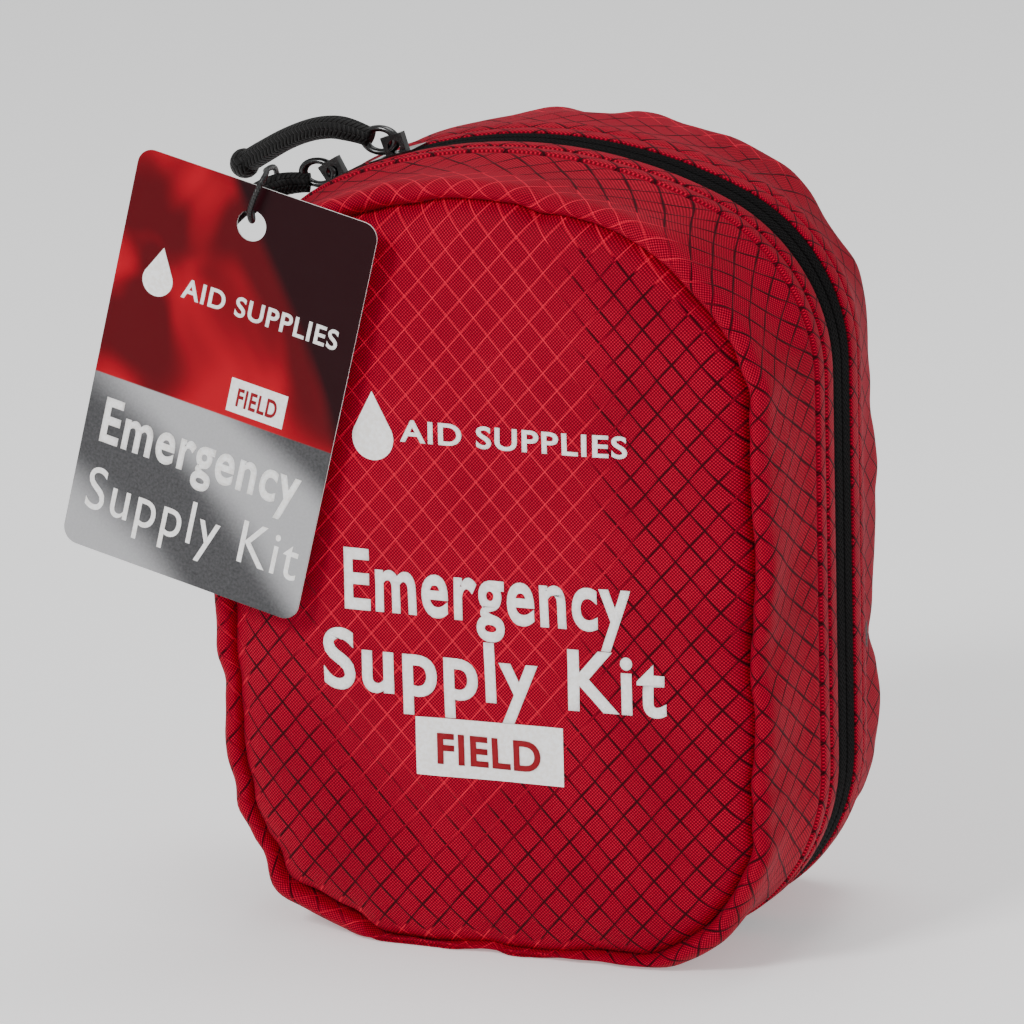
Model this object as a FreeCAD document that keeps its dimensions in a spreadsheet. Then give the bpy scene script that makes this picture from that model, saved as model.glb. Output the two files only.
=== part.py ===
import FreeCAD, Part
import math
import os
import re
import Sketcher
from FreeCAD import Placement, Rotation, Vector

# A zippered first-aid pouch that holds a folded windlass tourniquet, dressings, gloves and shears.
# X runs to the right, the front panel faces -Y and Z is up. The origin is the middle of the flat base.
# The two halves of the pouch meet at Y = 0, where the zipper runs. All lengths are in millimetres.

doc = FreeCAD.newDocument("zip_pouch")
sheet = doc.addObject("Spreadsheet::Sheet", "Sizes")

SIZES = [
    # Outline of the two panel seams: a flat base, round corners, straight sides and an arched top.
    ("seam_half", 68.5), ("seam_top", 186.5), ("seam_arch", 110), ("seam_shoulder", 48),
    ("seam_corner", 43),
    # The zipper's outline, half way between the seams, swells out beyond them.
    ("side_swell", 6.5), ("top_swell", 5.5), ("zip_arch", 120), ("zip_shoulder", 44),
    ("zip_corner", 46),
    # Depth: seams, the stretch of wall beside the zipper that runs straight, and the panels' crowns.
    ("seam_depth", 37), ("straight_depth", 15), ("zip_opening", 5), ("front_crown", 8),
    ("rear_crown", 8),
    # Sheet thicknesses.
    ("fabric", 1.2), ("lining", 0.8), ("tape", 0.6), ("net", 0.6), ("webbing", 0.8),
    ("clearance", 0.1), ("running_gap", 0.4), ("foam_inset", 24), ("panel_inset", 20),
    ("rim_inset", 4.5),
    # Zipper: half the gap between the tapes, tape width, coil section.
    ("tape_gap", 0.8), ("tape_wide", 10.2), ("coil_wide", 1.8), ("coil_thick", 1.5),
    # Side hinge: its fabric strip and the height over which the zipper is missing.
    ("hinge_low", 46), ("hinge_high", 136), ("strip_half", 4.4), ("hinge_cut", 30),
    # Binding over the inside seams.
    ("binding", 3),
    # Sliders and pull rings.
    ("slider_long", 12), ("slider_wide", 9), ("slider_plate", 1.4), ("bridge_thick", 0.8),
    ("bridge_long", 2.4), ("lug_wide", 2.4), ("lug_wall", 1.4), ("ring_radius", 4.2), ("ring_wire", 1.1),
    ("first_angle", 18.7), ("second_angle", 32.3),
    # Cord pulls, the tag and its string.
    ("cord_thick", 5), ("cord_end_radius", 3.8), ("string_thick", 1.4), ("knot_radius", 2),
    ("tag_wide", 63.5), ("tag_long", 101.6), ("tag_thick", 0.6), ("tag_corner", 4),
    ("tag_hole", 3.8), ("hole_drop", 10), ("tag_turn", 14.5), ("tag_gap", 5),
    # Folded tourniquet, in the rear half.
    ("band_wide", 38), ("band_long", 154), ("band_thick", 10), ("band_low", 18), ("plate_wide", 34),
    ("plate_thick", 2.4), ("plate_low", 62), ("plate_long", 90), ("ribbon_wide", 25),
    ("ribbon_long", 64), ("ribbon_core", 2.7), ("rod_radius", 4.5), ("rod_long", 125),
    ("rod_middle", 95), ("clip_middle", 143), ("clip_long", 14), ("clip_wall", 2), ("clip_base", 1.9),
    ("strap_thick", 0.7), ("strap_spare", 8), ("strap_tail", 6),
    ("buckle_wide", 48), ("buckle_long", 24), ("buckle_thick", 3), ("buckle_low", 22),
    ("slot_wide", 39), ("slot_long", 6), ("buckle_bar", 4),
    ("elastic_long", 10), ("lower_elastic", 49), ("upper_elastic", 155),
    # Net pocket and what it holds, in the front half.
    ("pocket_inset", 6), ("pocket_top", 108), ("pocket_front", 3), ("pocket_stand", 1.4),
    ("edge_high", 4), ("edge_thick", 2),
    ("pack_low", 20), ("pack_gap", 1.8), ("pack_slack", 1.6), ("dressing_wide", 64),
    ("dressing_long", 84), ("gauze_wide", 40), ("gauze_long", 62), ("pack_corner", 4),
    ("dressing_right", 10), ("gauze_left", 13), ("glove_wide", 90), ("glove_long", 76),
    ("glove_thick", 4), ("glove_shift", 5), ("glove_lift", 4),
    # Shears.
    ("pivot_across", 14), ("pivot_high", 96), ("rivet_radius", 3), ("blade_thick", 1.8),
    ("blade_wide", 9), ("blade_long", 54), ("shank_long", 32), ("loop_radius", 12),
    ("loop_wall", 3.5), ("loop_straight", 20), ("loop_drop", 48), ("loop_apart", 16),
    ("loop_thick", 7.4), ("rivet_head", 1.2), ("rivet_rim", 1.5),
]

# Sizes that follow from the driving ones.
DERIVED = {
    "zip_half": "(seam_half + side_swell)",
    "zip_top": "(seam_top + top_swell)",
    "lining_face": "(seam_depth - 2 * lining)",
    # Tourniquet layers in the rear half, each in front of the one before it.
    "band_face": "(lining_face - running_gap - band_thick)",
    "plate_face": "(band_face - clearance - plate_thick)",
    "ribbon_face": "(plate_face - clearance - webbing)",
    "rod_axis": "(plate_face - clip_base - clearance - running_gap - rod_radius)",
    "clip_face": "(rod_axis - rod_radius)",
    "strap_face": "(clip_face - 2 * running_gap - strap_thick)",
    "buckle_face": "(band_face - running_gap - buckle_thick)",
    "elastic_face": "(band_face - clearance - webbing)",
    "clip_low": "(clip_middle - clip_long / 2)",
    # Shears and packs in the front half, as depths behind the zipper.
    "loop_back": "(lining_face - 1.5 * running_gap)",
    "blade_back": "(loop_back - blade_thick)",
    "pack_back": "(loop_back - loop_thick - pack_gap)",
    "pack_thick": "(pack_back - pocket_front - net - glove_thick - running_gap - pack_slack)",
    "pocket_back": "(lining_face - pocket_stand)",
    # The zipper's shoulder arc: its slope where it leaves the top arc, and its centre.
    "lean_sine": "((zip_half - zip_shoulder) / (zip_arch - zip_shoulder))",
    "arch_high": "(zip_top - zip_arch)",
    "shoulder_high": "(arch_high + (zip_arch - zip_shoulder) * sqrt(1 - lean_sine^2))",
}
for row, (alias, number) in enumerate(SIZES, start=1):
    sheet.set(f"A{row}", alias)
    sheet.set(f"B{row}", str(number))
    sheet.setAlias(f"B{row}", alias)
doc.recompute()
ALIASES = {alias for alias, number in SIZES}


def bound(text):
    """Write a formula of size names as an expression on the sheet."""
    def spell(word):
        if word[0] in DERIVED:
            return bound(DERIVED[word[0]])
        return "Sizes." + word[0] if word[0] in ALIASES else word[0]

    return re.sub(r"[a-z][a-z_]+", spell, str(text))


def value(text):
    """The number that a formula of cell names has now."""
    return float(sheet.evalExpression(bound(text)))


def place(thing, x="0", y="0", z="0"):
    """Bind an object's position to three formulas."""
    for letter, text in (("x", x), ("y", y), ("z", z)):
        thing.setExpression(f"Placement.Base.{letter}", bound(f"({text}) * 1 mm"))
    return thing


def inset(name, amount):
    """The seam or zipper outline, moved inwards by an amount: half width, top, base and radii."""
    return [f"{name}_half - ({amount})", f"{name}_top - ({amount})", f"({amount})"] + [
        f"{name}_{part} - ({amount})" for part in ("arch", "shoulder", "corner")]


def draw_outline(sketch, sizes):
    """Draw one closed pouch outline, with its sizes bound to the sheet."""
    half, top, low, arch, shoulder, corner = [value(text) for text in sizes]
    lean = math.asin((half - shoulder) / (arch - shoulder))
    arch_middle = Vector(0, top - arch, 0)
    side = (arch - shoulder) * math.sin(lean)
    high = arch_middle.y + (arch - shoulder) * math.cos(lean)
    quarter = math.pi / 2
    start = sketch.GeometryCount
    up = Vector(0, 0, 1)

    def arc(middle, radius, first, last):
        return Part.ArcOfCircle(Part.Circle(middle, up, radius), first, last)

    flat = half - corner
    pieces = [
        Part.LineSegment(Vector(-flat, low, 0), Vector(flat, low, 0)),
        arc(Vector(flat, low + corner, 0), corner, -quarter, 0),
        Part.LineSegment(Vector(half, low + corner, 0), Vector(half, high, 0)),
        arc(Vector(side, high, 0), shoulder, 0, quarter - lean),
        arc(arch_middle, arch, quarter - lean, quarter + lean),
        arc(Vector(-side, high, 0), shoulder, quarter + lean, 2 * quarter),
        Part.LineSegment(Vector(-half, high, 0), Vector(-half, low + corner, 0)),
        arc(Vector(-flat, low + corner, 0), corner, 2 * quarter, 3 * quarter),
    ]
    sketch.addGeometry(pieces, False)
    ids = [start + step for step in range(8)]
    for step in range(8):
        sketch.addConstraint(Sketcher.Constraint("Tangent", ids[step], 2, ids[(step + 1) % 8], 1))
    sketch.addConstraint(Sketcher.Constraint("Horizontal", ids[0]))
    sketch.addConstraint(Sketcher.Constraint("Vertical", ids[2]))
    sketch.addConstraint(Sketcher.Constraint("Vertical", ids[6]))
    sketch.addConstraint(Sketcher.Constraint("PointOnObject", ids[4], 3, -2))
    half_text, top_text, low_text, arch_text, shoulder_text, corner_text = sizes
    rules = [
        (("Radius", ids[1]), corner, corner_text),
        (("Radius", ids[7]), corner, corner_text),
        (("Radius", ids[3]), shoulder, shoulder_text),
        (("Radius", ids[5]), shoulder, shoulder_text),
        (("Radius", ids[4]), arch, arch_text),
        (("DistanceY", -1, 1, ids[1], 3), low + corner, f"({low_text}) + ({corner_text})"),
        (("DistanceY", -1, 1, ids[4], 3), top - arch, f"({top_text}) - ({arch_text})"),
        (("DistanceX", -1, 1, ids[2], 1), half, half_text),
        (("DistanceX", ids[6], 1, -1, 1), half, half_text),
    ]
    for rule, number, text in rules:
        index = sketch.addConstraint(Sketcher.Constraint(*rule, number))
        name = f"size_{index}"
        sketch.renameConstraint(index, name)
        sketch.setExpression(f"Constraints.{name}", bound(text))


def plane_sketch(body, name, role, offset="0"):
    """A sketch on one of a body's own planes, moved along the plane's normal."""
    sketch = body.newObject("Sketcher::SketchObject", name)
    plane = [feature for feature in body.Origin.OriginFeatures if feature.Role == role][0]
    sketch.AttachmentSupport = [(plane, "")]
    sketch.MapMode = "FlatFace"
    sketch.setExpression("AttachmentOffset.Base.z", bound(f"({offset}) * 1 mm"))
    return sketch


def outline_loft(body, kind, stations):
    """Loft a body's wall through outlines; each station is its Y, outline name and inset."""
    sketches = []
    for y, name, amount in stations:
        sketch = plane_sketch(body, "Station", "XZ_Plane", f"-({y})")
        draw_outline(sketch, inset(name, amount))
        sketches.append(sketch)
    loft = body.newObject("PartDesign::" + kind, kind)
    loft.Profile = sketches[0]
    loft.Sections = sketches[1:]
    loft.Ruled = True
    return loft


def new_body(label):
    body = doc.addObject("PartDesign::Body", "Body_" + label)
    body.Label = label
    return body


def lofted_shell(label, outer, inner):
    """A thin fabric shell between two lofts through the pouch outline."""
    body = new_body(label)
    outline_loft(body, "AdditiveLoft", outer)
    doc.recompute()
    outline_loft(body, "SubtractiveLoft", inner)
    return body


def outline_pad(body, y, thick, outer, hole=None, cut=False):
    """A flat plate of the pouch's outline from y to y + thick, or a ring when it has a hole."""
    sketch = plane_sketch(body, "Profile", "XZ_Plane", f"-({y})")
    draw_outline(sketch, inset(*outer))
    if hole:
        draw_outline(sketch, inset(*hole))
    pad = body.newObject("PartDesign::" + ("Pocket" if cut else "Pad"), "Plate")
    pad.Profile = sketch
    pad.Reversed = not cut
    pad.setExpression("Length", bound(thick))
    return pad


def rectangle(sketch, wide, high):
    """A rectangle from the sketch's origin, bound to two formulas."""
    w, h = value(wide), value(high)
    corners = [Vector(0, 0, 0), Vector(w, 0, 0), Vector(w, h, 0), Vector(0, h, 0)]
    sketch.addGeometry([Part.LineSegment(corners[i], corners[(i + 1) % 4]) for i in range(4)], False)
    for i in range(4):
        sketch.addConstraint(Sketcher.Constraint("Coincident", i, 2, (i + 1) % 4, 1))
    for i in range(4):
        sketch.addConstraint(Sketcher.Constraint("Horizontal" if i % 2 == 0 else "Vertical", i))
    sketch.addConstraint(Sketcher.Constraint("Coincident", 0, 1, -1, 1))
    for name, kind, text, number, line in (("wide", "DistanceX", wide, w, 0),
                                           ("high", "DistanceY", high, h, 1)):
        index = sketch.addConstraint(Sketcher.Constraint(kind, line, 1, line, 2, number))
        sketch.renameConstraint(index, name)
        sketch.setExpression(f"Constraints.{name}", bound(text))


def block(label, wide, deep, high, x, y, z, radius=None, along=None):
    """A rectangular block from its lowest corner, with edges rounded all over or along one axis."""
    body = new_body(label)
    sketch = plane_sketch(body, "Face", "XY_Plane")
    rectangle(sketch, wide, deep)
    pad = body.newObject("PartDesign::Pad", "Block")
    pad.Profile = sketch
    pad.setExpression("Length", bound(high))
    doc.recompute()
    if radius:
        names = []
        for number, edge in enumerate(pad.Shape.Edges, start=1):
            direction = edge.tangentAt(edge.FirstParameter)
            if along is None or abs(direction.dot(along)) > 0.99:
                names.append(f"Edge{number}")
        fillet = body.newObject("PartDesign::Fillet", "Rounding")
        fillet.Base = (pad, names)
        fillet.setExpression("Radius", bound(radius))
    place(body, x, y, z)
    return body


def box(wide, deep, high, x, y, z):
    """A plain box, to be joined or cut."""
    solid = doc.addObject("Part::Box", "Box")
    for side, text in (("Length", wide), ("Width", deep), ("Height", high)):
        solid.setExpression(side, bound(text))
    return place(solid, x, y, z)


def across(radius, deep, x, y, z):
    """A cylinder whose axis runs along Y, from y to y + deep."""
    solid = doc.addObject("Part::Cylinder", "Round")
    solid.setExpression("Radius", bound(radius))
    solid.setExpression("Height", bound(deep))
    solid.Placement = Placement(Vector(), Rotation(Vector(1, 0, 0), -90))
    return place(solid, x, y, z)


def join(label, solids):
    fused = doc.addObject("Part::MultiFuse", "Joined")
    fused.Shapes = solids
    fused.Label = label
    return fused


def cut(label, base, tool):
    result = doc.addObject("Part::Cut", "Cut")
    result.Base = base
    result.Tool = tool
    result.Label = label
    return result


nodes = {}


def keep(thing):
    """Remember a finished piece under its label, which names its file."""
    nodes[thing.Label] = thing
    return thing


# Each half of the pouch: a crowned panel, its foam, a lining, the side wall, binding and zipper tape.
for half, sign, crown in (("front", "-", "front_crown"), ("rear", "", "rear_crown")):
    seam = f"{sign}seam_depth"
    middle = f"{sign}(seam_depth + 0.6 * {crown})"
    peak = f"{sign}(seam_depth + {crown})"
    inner_middle = f"{sign}(seam_depth + 0.6 * {crown} - 0.8 * fabric)"
    inner_peak = f"{sign}(seam_depth + {crown} - fabric)"
    keep(lofted_shell(f"{half}_panel",
                      [(seam, "seam", "0"), (middle, "seam", "rim_inset"), (peak, "seam", "panel_inset")],
                      [(seam, "seam", "fabric"), (inner_middle, "seam", "rim_inset + 0.6 * fabric"),
                       (inner_peak, "seam", "panel_inset + 0.5 * fabric")]))
    foam = new_body(f"{half}_padding")
    foam_back = f"{sign}(seam_depth - lining + 2 * clearance)"
    outline_loft(foam, "AdditiveLoft",
                 [(foam_back, "seam", "fabric + 2"),
                  (f"{sign}(seam_depth + 0.2 * {crown})", "seam", "fabric + 4"),
                  (f"{sign}(seam_depth + {crown} - fabric - clearance)", "seam", "foam_inset")])
    keep(foam)
    lining = new_body(f"{half}_lining")
    outline_pad(lining, "lining_face" if half == "rear" else "-lining_face - lining", "lining",
                ("seam", "fabric + clearance"))
    keep(lining)
    binding = new_body(f"{half}_binding")
    outline_pad(binding, "lining_face - clearance - binding" if half == "rear"
                else "-lining_face + clearance", "binding",
                ("seam", "fabric + clearance"), ("seam", "fabric + clearance + binding"))
    keep(binding)
    keep(lofted_shell(f"{half}_gusset",
                      [(seam, "seam", "0"), (f"{sign}straight_depth", "zip", "0"),
                       (f"{sign}zip_opening", "zip", "0")],
                      [(seam, "seam", "fabric"), (f"{sign}straight_depth", "zip", "fabric"),
                       (f"{sign}zip_opening", "zip", "fabric")]))
    for piece, wide, thick, depth in (("tape", "tape_wide", "tape", "fabric + clearance"),
                                      ("coil", "coil_wide", "coil_thick",
                                       "fabric + clearance + tape")):
        ring = new_body(f"whole_{half}_{piece}")
        start = "tape_gap" if half == "rear" else f"-tape_gap - {wide}"
        outline_pad(ring, start, wide, ("zip", depth), ("zip", f"{depth} + {thick}"))
        gap = box("hinge_cut", "2 * hinge_cut", "hinge_high - hinge_low",
                  "-zip_half - hinge_cut / 2", "-hinge_cut", "hinge_low")
        keep(cut(f"{half}_zipper_{piece}", ring, gap))

# The fabric hinge on the left, where the zipper has no teeth.
keep(block("hinge_strip", "fabric", "2 * strip_half", "hinge_high - hinge_low - 2",
           "-zip_half", "-strip_half", "hinge_low + 1"))

# Two sliders ride on the zipper's arcs. Each is an outer and an inner plate joined by a thin bridge
# between the tapes, with a lug on top. The plates follow the arc, so they run clear of the tape.


def sector(radius, wide, long, angle, x, z):
    """A wedge of a disc about a Y axis, centred on an angle to the left of straight up."""
    solid = doc.addObject("Part::Cylinder", "Sector")
    solid.setExpression("Radius", bound(radius))
    solid.setExpression("Height", bound(wide))
    solid.setExpression("Angle", bound(f"({long}) / ({radius}) * 180 / pi * 1 deg"))
    holder_turn = f"90 + ({angle}) - ({long}) / ({radius}) * 90 / pi"
    solid.Placement = Placement(Vector(), Rotation(Vector(1, 0, 0), 90))
    return place(solid, x, f"({wide}) / 2", z), holder_turn


def turned(solid, angle):
    """Set a cylinder wedge so that it starts at an angle from +X, in the plane across Y."""
    start = value(angle)
    solid.Placement.Rotation = Rotation(Vector(1, 0, 0), 90).multiply(Rotation(Vector(0, 0, 1), start))
    return solid


def band_sector(low, high, wide, long, angle, x, z):
    """A curved plate between two radii about a Y axis."""
    parts = []
    for radius, stretch in ((high, 1), (low, 3)):
        solid, start = sector(radius, f"({wide}) * {stretch}", f"({long}) * {stretch} * ({radius})"
                              f" / ({high})", angle, x, z)
        parts.append(turned(solid, start))
    return cut("plate", *parts)


def slider(label, arch, across_x, high_z, angle):
    """One slider, on the arc of the given radius, centre and angle."""
    tape_out = f"{arch} - fabric - clearance"
    tape_in = f"{tape_out} - tape - coil_thick"
    outer = band_sector(f"{tape_out} + running_gap", f"{tape_out} + running_gap + slider_plate",
                        "slider_wide", "slider_long", angle, across_x, high_z)
    inner = band_sector(f"{tape_in} - running_gap - slider_plate", f"{tape_in} - running_gap",
                        "slider_wide", "slider_long", angle, across_x, high_z)
    bridge = band_sector(f"{tape_in} - running_gap - slider_plate / 2",
                         f"{tape_out} + running_gap + slider_plate / 2",
                         "bridge_thick", "bridge_long", angle, across_x, high_z)
    block_high = "2 * ring_wire + 2 * running_gap + lug_wall"
    lug_long = "2 * ring_wire + 2 * running_gap + 2 * lug_wall"
    lug = band_sector(f"{tape_out} + running_gap + slider_plate / 2",
                      f"{tape_out} + running_gap + slider_plate + {block_high}",
                      "lug_wide", lug_long, angle, across_x, high_z)
    eye_at = f"({tape_out} + running_gap + slider_plate + ring_wire + running_gap)"
    eye = across("ring_wire + running_gap + 0.1", "3 * lug_wide",
                 f"{across_x} - {eye_at} * sin(({angle}) * 1 deg)", "-1.5 * lug_wide",
                 f"{high_z} + {eye_at} * cos(({angle}) * 1 deg)")
    keep(cut(label, join("solid", [outer, inner, bridge, lug]), eye))
    return (value(f"{across_x} - {eye_at} * sin(({angle}) * 1 deg)"),
            value(f"{high_z} + {eye_at} * cos(({angle}) * 1 deg)"))


eye_1 = slider("slider_1_body", "zip_arch", "0", "arch_high", "first_angle")
eye_2 = slider("slider_2_body", "zip_shoulder", "-(zip_half - zip_shoulder)", "shoulder_high",
               "second_angle")


def pull_ring(label, eye, lift):
    """A wire ring through a slider's eye, leaning to the left and up by an angle."""
    ring = doc.addObject("Part::Torus", "Ring")
    ring.setExpression("Radius1", bound("ring_radius"))
    ring.setExpression("Radius2", bound("ring_wire"))
    reach = value("ring_radius")
    lean = math.radians(lift)
    middle = Vector(eye[0] - reach * math.cos(lean), 0, eye[1] + reach * math.sin(lean))
    ring.Placement = Placement(middle, Rotation(Vector(0, 1, 0), lift))
    ring.Label = label
    keep(ring)
    return Vector(eye[0] - 2 * reach * math.cos(lean), 0, eye[1] + 2 * reach * math.sin(lean))


ring_end_1 = pull_ring("pull_ring_1", eye_1, 16)
ring_end_2 = pull_ring("pull_ring_2", eye_2, -8)


# Cords: each route is straight runs joined by tangent arcs.
def cord_tube(label, points, radius):
    """A round tube along a route, with each corner rounded as far as its two runs allow."""
    corners = [Vector(*point) for point in points]
    arcs = []
    for before, corner, after in zip(corners, corners[1:], corners[2:]):
        into = corner - before
        out = after - corner
        turn = into.getAngle(out)
        reach = 0.45 * min(into.Length, out.Length)
        bend = reach / math.tan(turn / 2)
        into.normalize()
        out.normalize()
        first = corner - into * reach
        last = corner + out * reach
        inward = out - into
        inward.normalize()
        middle = corner + inward * (bend / math.cos(turn / 2) - bend)
        arcs.append((first, middle, last))
        print(f"{label}: arc radius {bend:.1f} mm, turn {math.degrees(turn):.0f} degrees")
    edges = []
    here = corners[0]
    for first, middle, last in arcs:
        edges.append(Part.LineSegment(here, first).toShape())
        edges.append(Part.Arc(first, middle, last).toShape())
        here = last
    edges.append(Part.LineSegment(here, corners[-1]).toShape())
    path = Part.Wire(edges)
    along = corners[1] - corners[0]
    section = Part.Wire([Part.makeCircle(radius, corners[0], along)])
    tube = path.makePipeShell([section], True, False, 2)
    print(f"{label}: length {path.Length:.1f} mm, volume over section and length "
          f"{tube.Volume / (math.pi * radius ** 2 * path.Length):.4f}")
    feature = doc.addObject("Part::Feature", "Tube_" + label)
    feature.Shape = tube
    feature.Label = label
    keep(feature)
    return corners


def ball(label, radius, middle):
    """A rounded end or knot on a cord."""
    solid = doc.addObject("Part::Sphere", "Ball")
    solid.setExpression("Radius", bound(radius))
    solid.Placement = Placement(middle, Rotation())
    solid.Label = label
    return keep(solid)


PULL_1_ROUTE = [(-46.4, 0.0, 190.2), (-52.8, 0.3, 191.9), (-60.0, 1.5, 190.6), (-68.5, 3.6, 187.6),
                (-77.0, 6.0, 183.2), (-84.0, 8.0, 179.4)]
PULL_2_ROUTE = [(-62.2, 0.0, 177.0), (-67.0, -1.4, 177.2), (-72.6, -5.4, 175.6),
                (-77.4, -12.0, 171.4), (-80.6, -20.0, 165.2), (-82.2, -28.0, 157.6)]
STRING_ROUTE = [(-57.4, -44.0, 180.6), (-61.2, -32.0, 178.6), (-65.8, -20.0, 175.4),
                (-69.8, -8.0, 172.8), (-71.6, -1.0, 173.0), (-71.9, 2.4, 176.8),
                (-70.6, -1.6, 180.8), (-66.6, -13.0, 183.2), (-60.4, -28.0, 186.2),
                (-54.6, -41.0, 189.0), (-50.6, -48.4, 190.6), (-50.0, -53.0, 189.2),
                (-51.8, -53.8, 185.4), (-53.6, -53.0, 181.4), (-54.4, -50.0, 178.6),
                (-55.6, -46.4, 178.4), (-57.0, -44.4, 180.0)]


tube_radius = value("cord_thick") / 2
ends = {}
for number, route in ((1, PULL_1_ROUTE), (2, PULL_2_ROUTE)):
    ends[number] = cord_tube(f"pull_cord_{number}", route, tube_radius)[-1]
    ball(f"pull_end_{number}", "cord_end_radius", ends[number])
cord_tube("tag_string", STRING_ROUTE, value("string_thick") / 2)
ball("string_knot", "knot_radius", Vector(*STRING_ROUTE[0]))

# The card tag: a rounded plate with one round hole near its top edge, turned in its own plane.
tag = new_body("hang_tag")
face = plane_sketch(tag, "Card", "XZ_Plane")
rectangle(face, "tag_wide", "tag_long")
card = tag.newObject("PartDesign::Pad", "Sheet")
card.Profile = face
card.setExpression("Length", bound("tag_thick"))
doc.recompute()
upright = [f"Edge{n}" for n, edge in enumerate(card.Shape.Edges, start=1)
           if abs(edge.tangentAt(edge.FirstParameter).y) > 0.99]
rounding = tag.newObject("PartDesign::Fillet", "Corners")
rounding.Base = (card, upright)
rounding.setExpression("Radius", bound("tag_corner"))
doc.recompute()
hole_sketch = plane_sketch(tag, "Hole", "XZ_Plane")
hole_sketch.addGeometry(Part.Circle(Vector(value("tag_wide / 2"), value("tag_long - hole_drop"), 0),
                                    Vector(0, 0, 1), value("tag_hole")), False)
for name, rule, text in (("radius", ("Radius", 0), "tag_hole"),
                         ("side", ("DistanceX", -1, 1, 0, 3), "tag_wide / 2"),
                         ("drop", ("DistanceY", -1, 1, 0, 3), "tag_long - hole_drop")):
    index = hole_sketch.addConstraint(Sketcher.Constraint(*rule, value(text)))
    hole_sketch.renameConstraint(index, name)
    hole_sketch.setExpression(f"Constraints.{name}", bound(text))
hole = tag.newObject("PartDesign::Pocket", "Eyelet")
hole.Profile = hole_sketch
hole.Reversed = True
hole.setExpression("Length", bound("tag_thick"))
HOLE_AT = Vector(-54.2, 0, 177.8)
tag_turn = math.radians(value("tag_turn"))
tag.Placement.Rotation = Rotation(Vector(0, 1, 0), value("tag_turn"))
place(tag,
      f"{HOLE_AT.x} - cos(tag_turn * 1 deg) * tag_wide / 2"
      " - sin(tag_turn * 1 deg) * (tag_long - hole_drop)",
      "-seam_depth - front_crown - tag_gap",
      f"{HOLE_AT.z} + sin(tag_turn * 1 deg) * tag_wide / 2"
      " - cos(tag_turn * 1 deg) * (tag_long - hole_drop)")
keep(tag)

# Folded tourniquet in the rear half. Each layer sits on the one behind it, towards -Y.
keep(block("tourniquet_band", "band_wide", "band_thick", "band_long", "-band_wide / 2", "band_face",
           "band_low", "band_thick * 0.4", Vector(1, 0, 0)))
keep(block("backplate", "plate_wide", "plate_thick", "plate_long", "-plate_wide / 2", "plate_face",
           "plate_low", "1"))
strip = box("ribbon_wide", "webbing", "ribbon_long", "-ribbon_wide / 2", "ribbon_face",
            "rod_middle - ribbon_long / 2")
core = across("ribbon_core", "ribbon_face + 1.5 * webbing - clip_face", "0", "clip_face - webbing",
              "rod_middle")
keep(join("windlass_ribbon", [strip, core]))
rod_body = doc.addObject("Part::Cylinder", "Rod")
rod_body.setExpression("Radius", bound("rod_radius"))
rod_body.setExpression("Height", bound("rod_long"))
place(rod_body, "0", "rod_axis", "rod_middle - rod_long / 2")
slot = across("ribbon_core + running_gap", "4 * rod_radius", "0", "rod_axis - 2 * rod_radius",
              "rod_middle")
keep(cut("windlass_rod", rod_body, slot))
clip_floor = box("2 * rod_radius + 2 * running_gap + 2 * clip_wall", "clip_base", "clip_long",
                 "-rod_radius - running_gap - clip_wall", "plate_face - clearance - clip_base",
                 "clip_low")
clip_side = box("clip_wall", "plate_face - clearance - clip_face + running_gap", "clip_long",
                "rod_radius + running_gap", "clip_face - running_gap", "clip_low")
keep(join("windlass_clip", [clip_floor, clip_side]))
keep(block("time_strap", "2 * rod_radius + 2 * clip_wall + strap_spare", "strap_thick",
           "clip_long - 2", "-rod_radius - clip_wall - strap_tail", "strap_face", "clip_low + 1",
           "strap_thick * 0.3", Vector(0, 0, 1)))
frame = block("buckle_frame", "buckle_wide", "buckle_thick", "buckle_long", "-buckle_wide / 2",
              "buckle_face", "buckle_low", "1")
windows = join("windows", [
    box("slot_wide", "3 * buckle_thick", "slot_long", "-slot_wide / 2", "buckle_face - buckle_thick",
        f"buckle_low + buckle_long / 2 + {side}") for side in ("buckle_bar / 2",
                                                               "(-buckle_bar / 2 - slot_long)")])
keep(cut("band_buckle", frame, windows))
for label, low in (("strap_lower", "lower_elastic"), ("strap_upper", "upper_elastic")):
    whole = box("band_wide + 2 * running_gap + 2 * webbing",
                "lining_face - clearance - elastic_face", "elastic_long",
                "-band_wide / 2 - running_gap - webbing", "elastic_face", low)
    inside = box("band_wide + 2 * running_gap", "lining_face", "elastic_long + 2",
                 "-band_wide / 2 - running_gap", "band_face - clearance", f"{low} - 1")
    keep(cut(label, whole, inside))

# The net pocket in the front half: a shallow tray that opens upwards, with an elastic edge.
tray = new_body("whole_tray")
outline_pad(tray, "-pocket_back", "pocket_back - pocket_front", ("seam", "pocket_inset - net"))
doc.recompute()
hollow = plane_sketch(tray, "Hollow", "XZ_Plane", "pocket_back")
draw_outline(hollow, inset("seam", "pocket_inset"))
scoop = tray.newObject("PartDesign::Pocket", "Scoop")
scoop.Profile = hollow
scoop.setExpression("Length", bound("pocket_back - pocket_front - net"))
above = box("2 * zip_half", "seam_depth + front_crown", "zip_top", "-zip_half",
            "-seam_depth - front_crown", "pocket_top")
keep(cut("mesh_pocket", tray, above))
keep(block("pocket_elastic", "2 * (seam_half - pocket_inset)", "edge_thick", "edge_high",
           "-seam_half + pocket_inset", "-pocket_front - edge_thick", "pocket_top + clearance", "0.6"))

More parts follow.
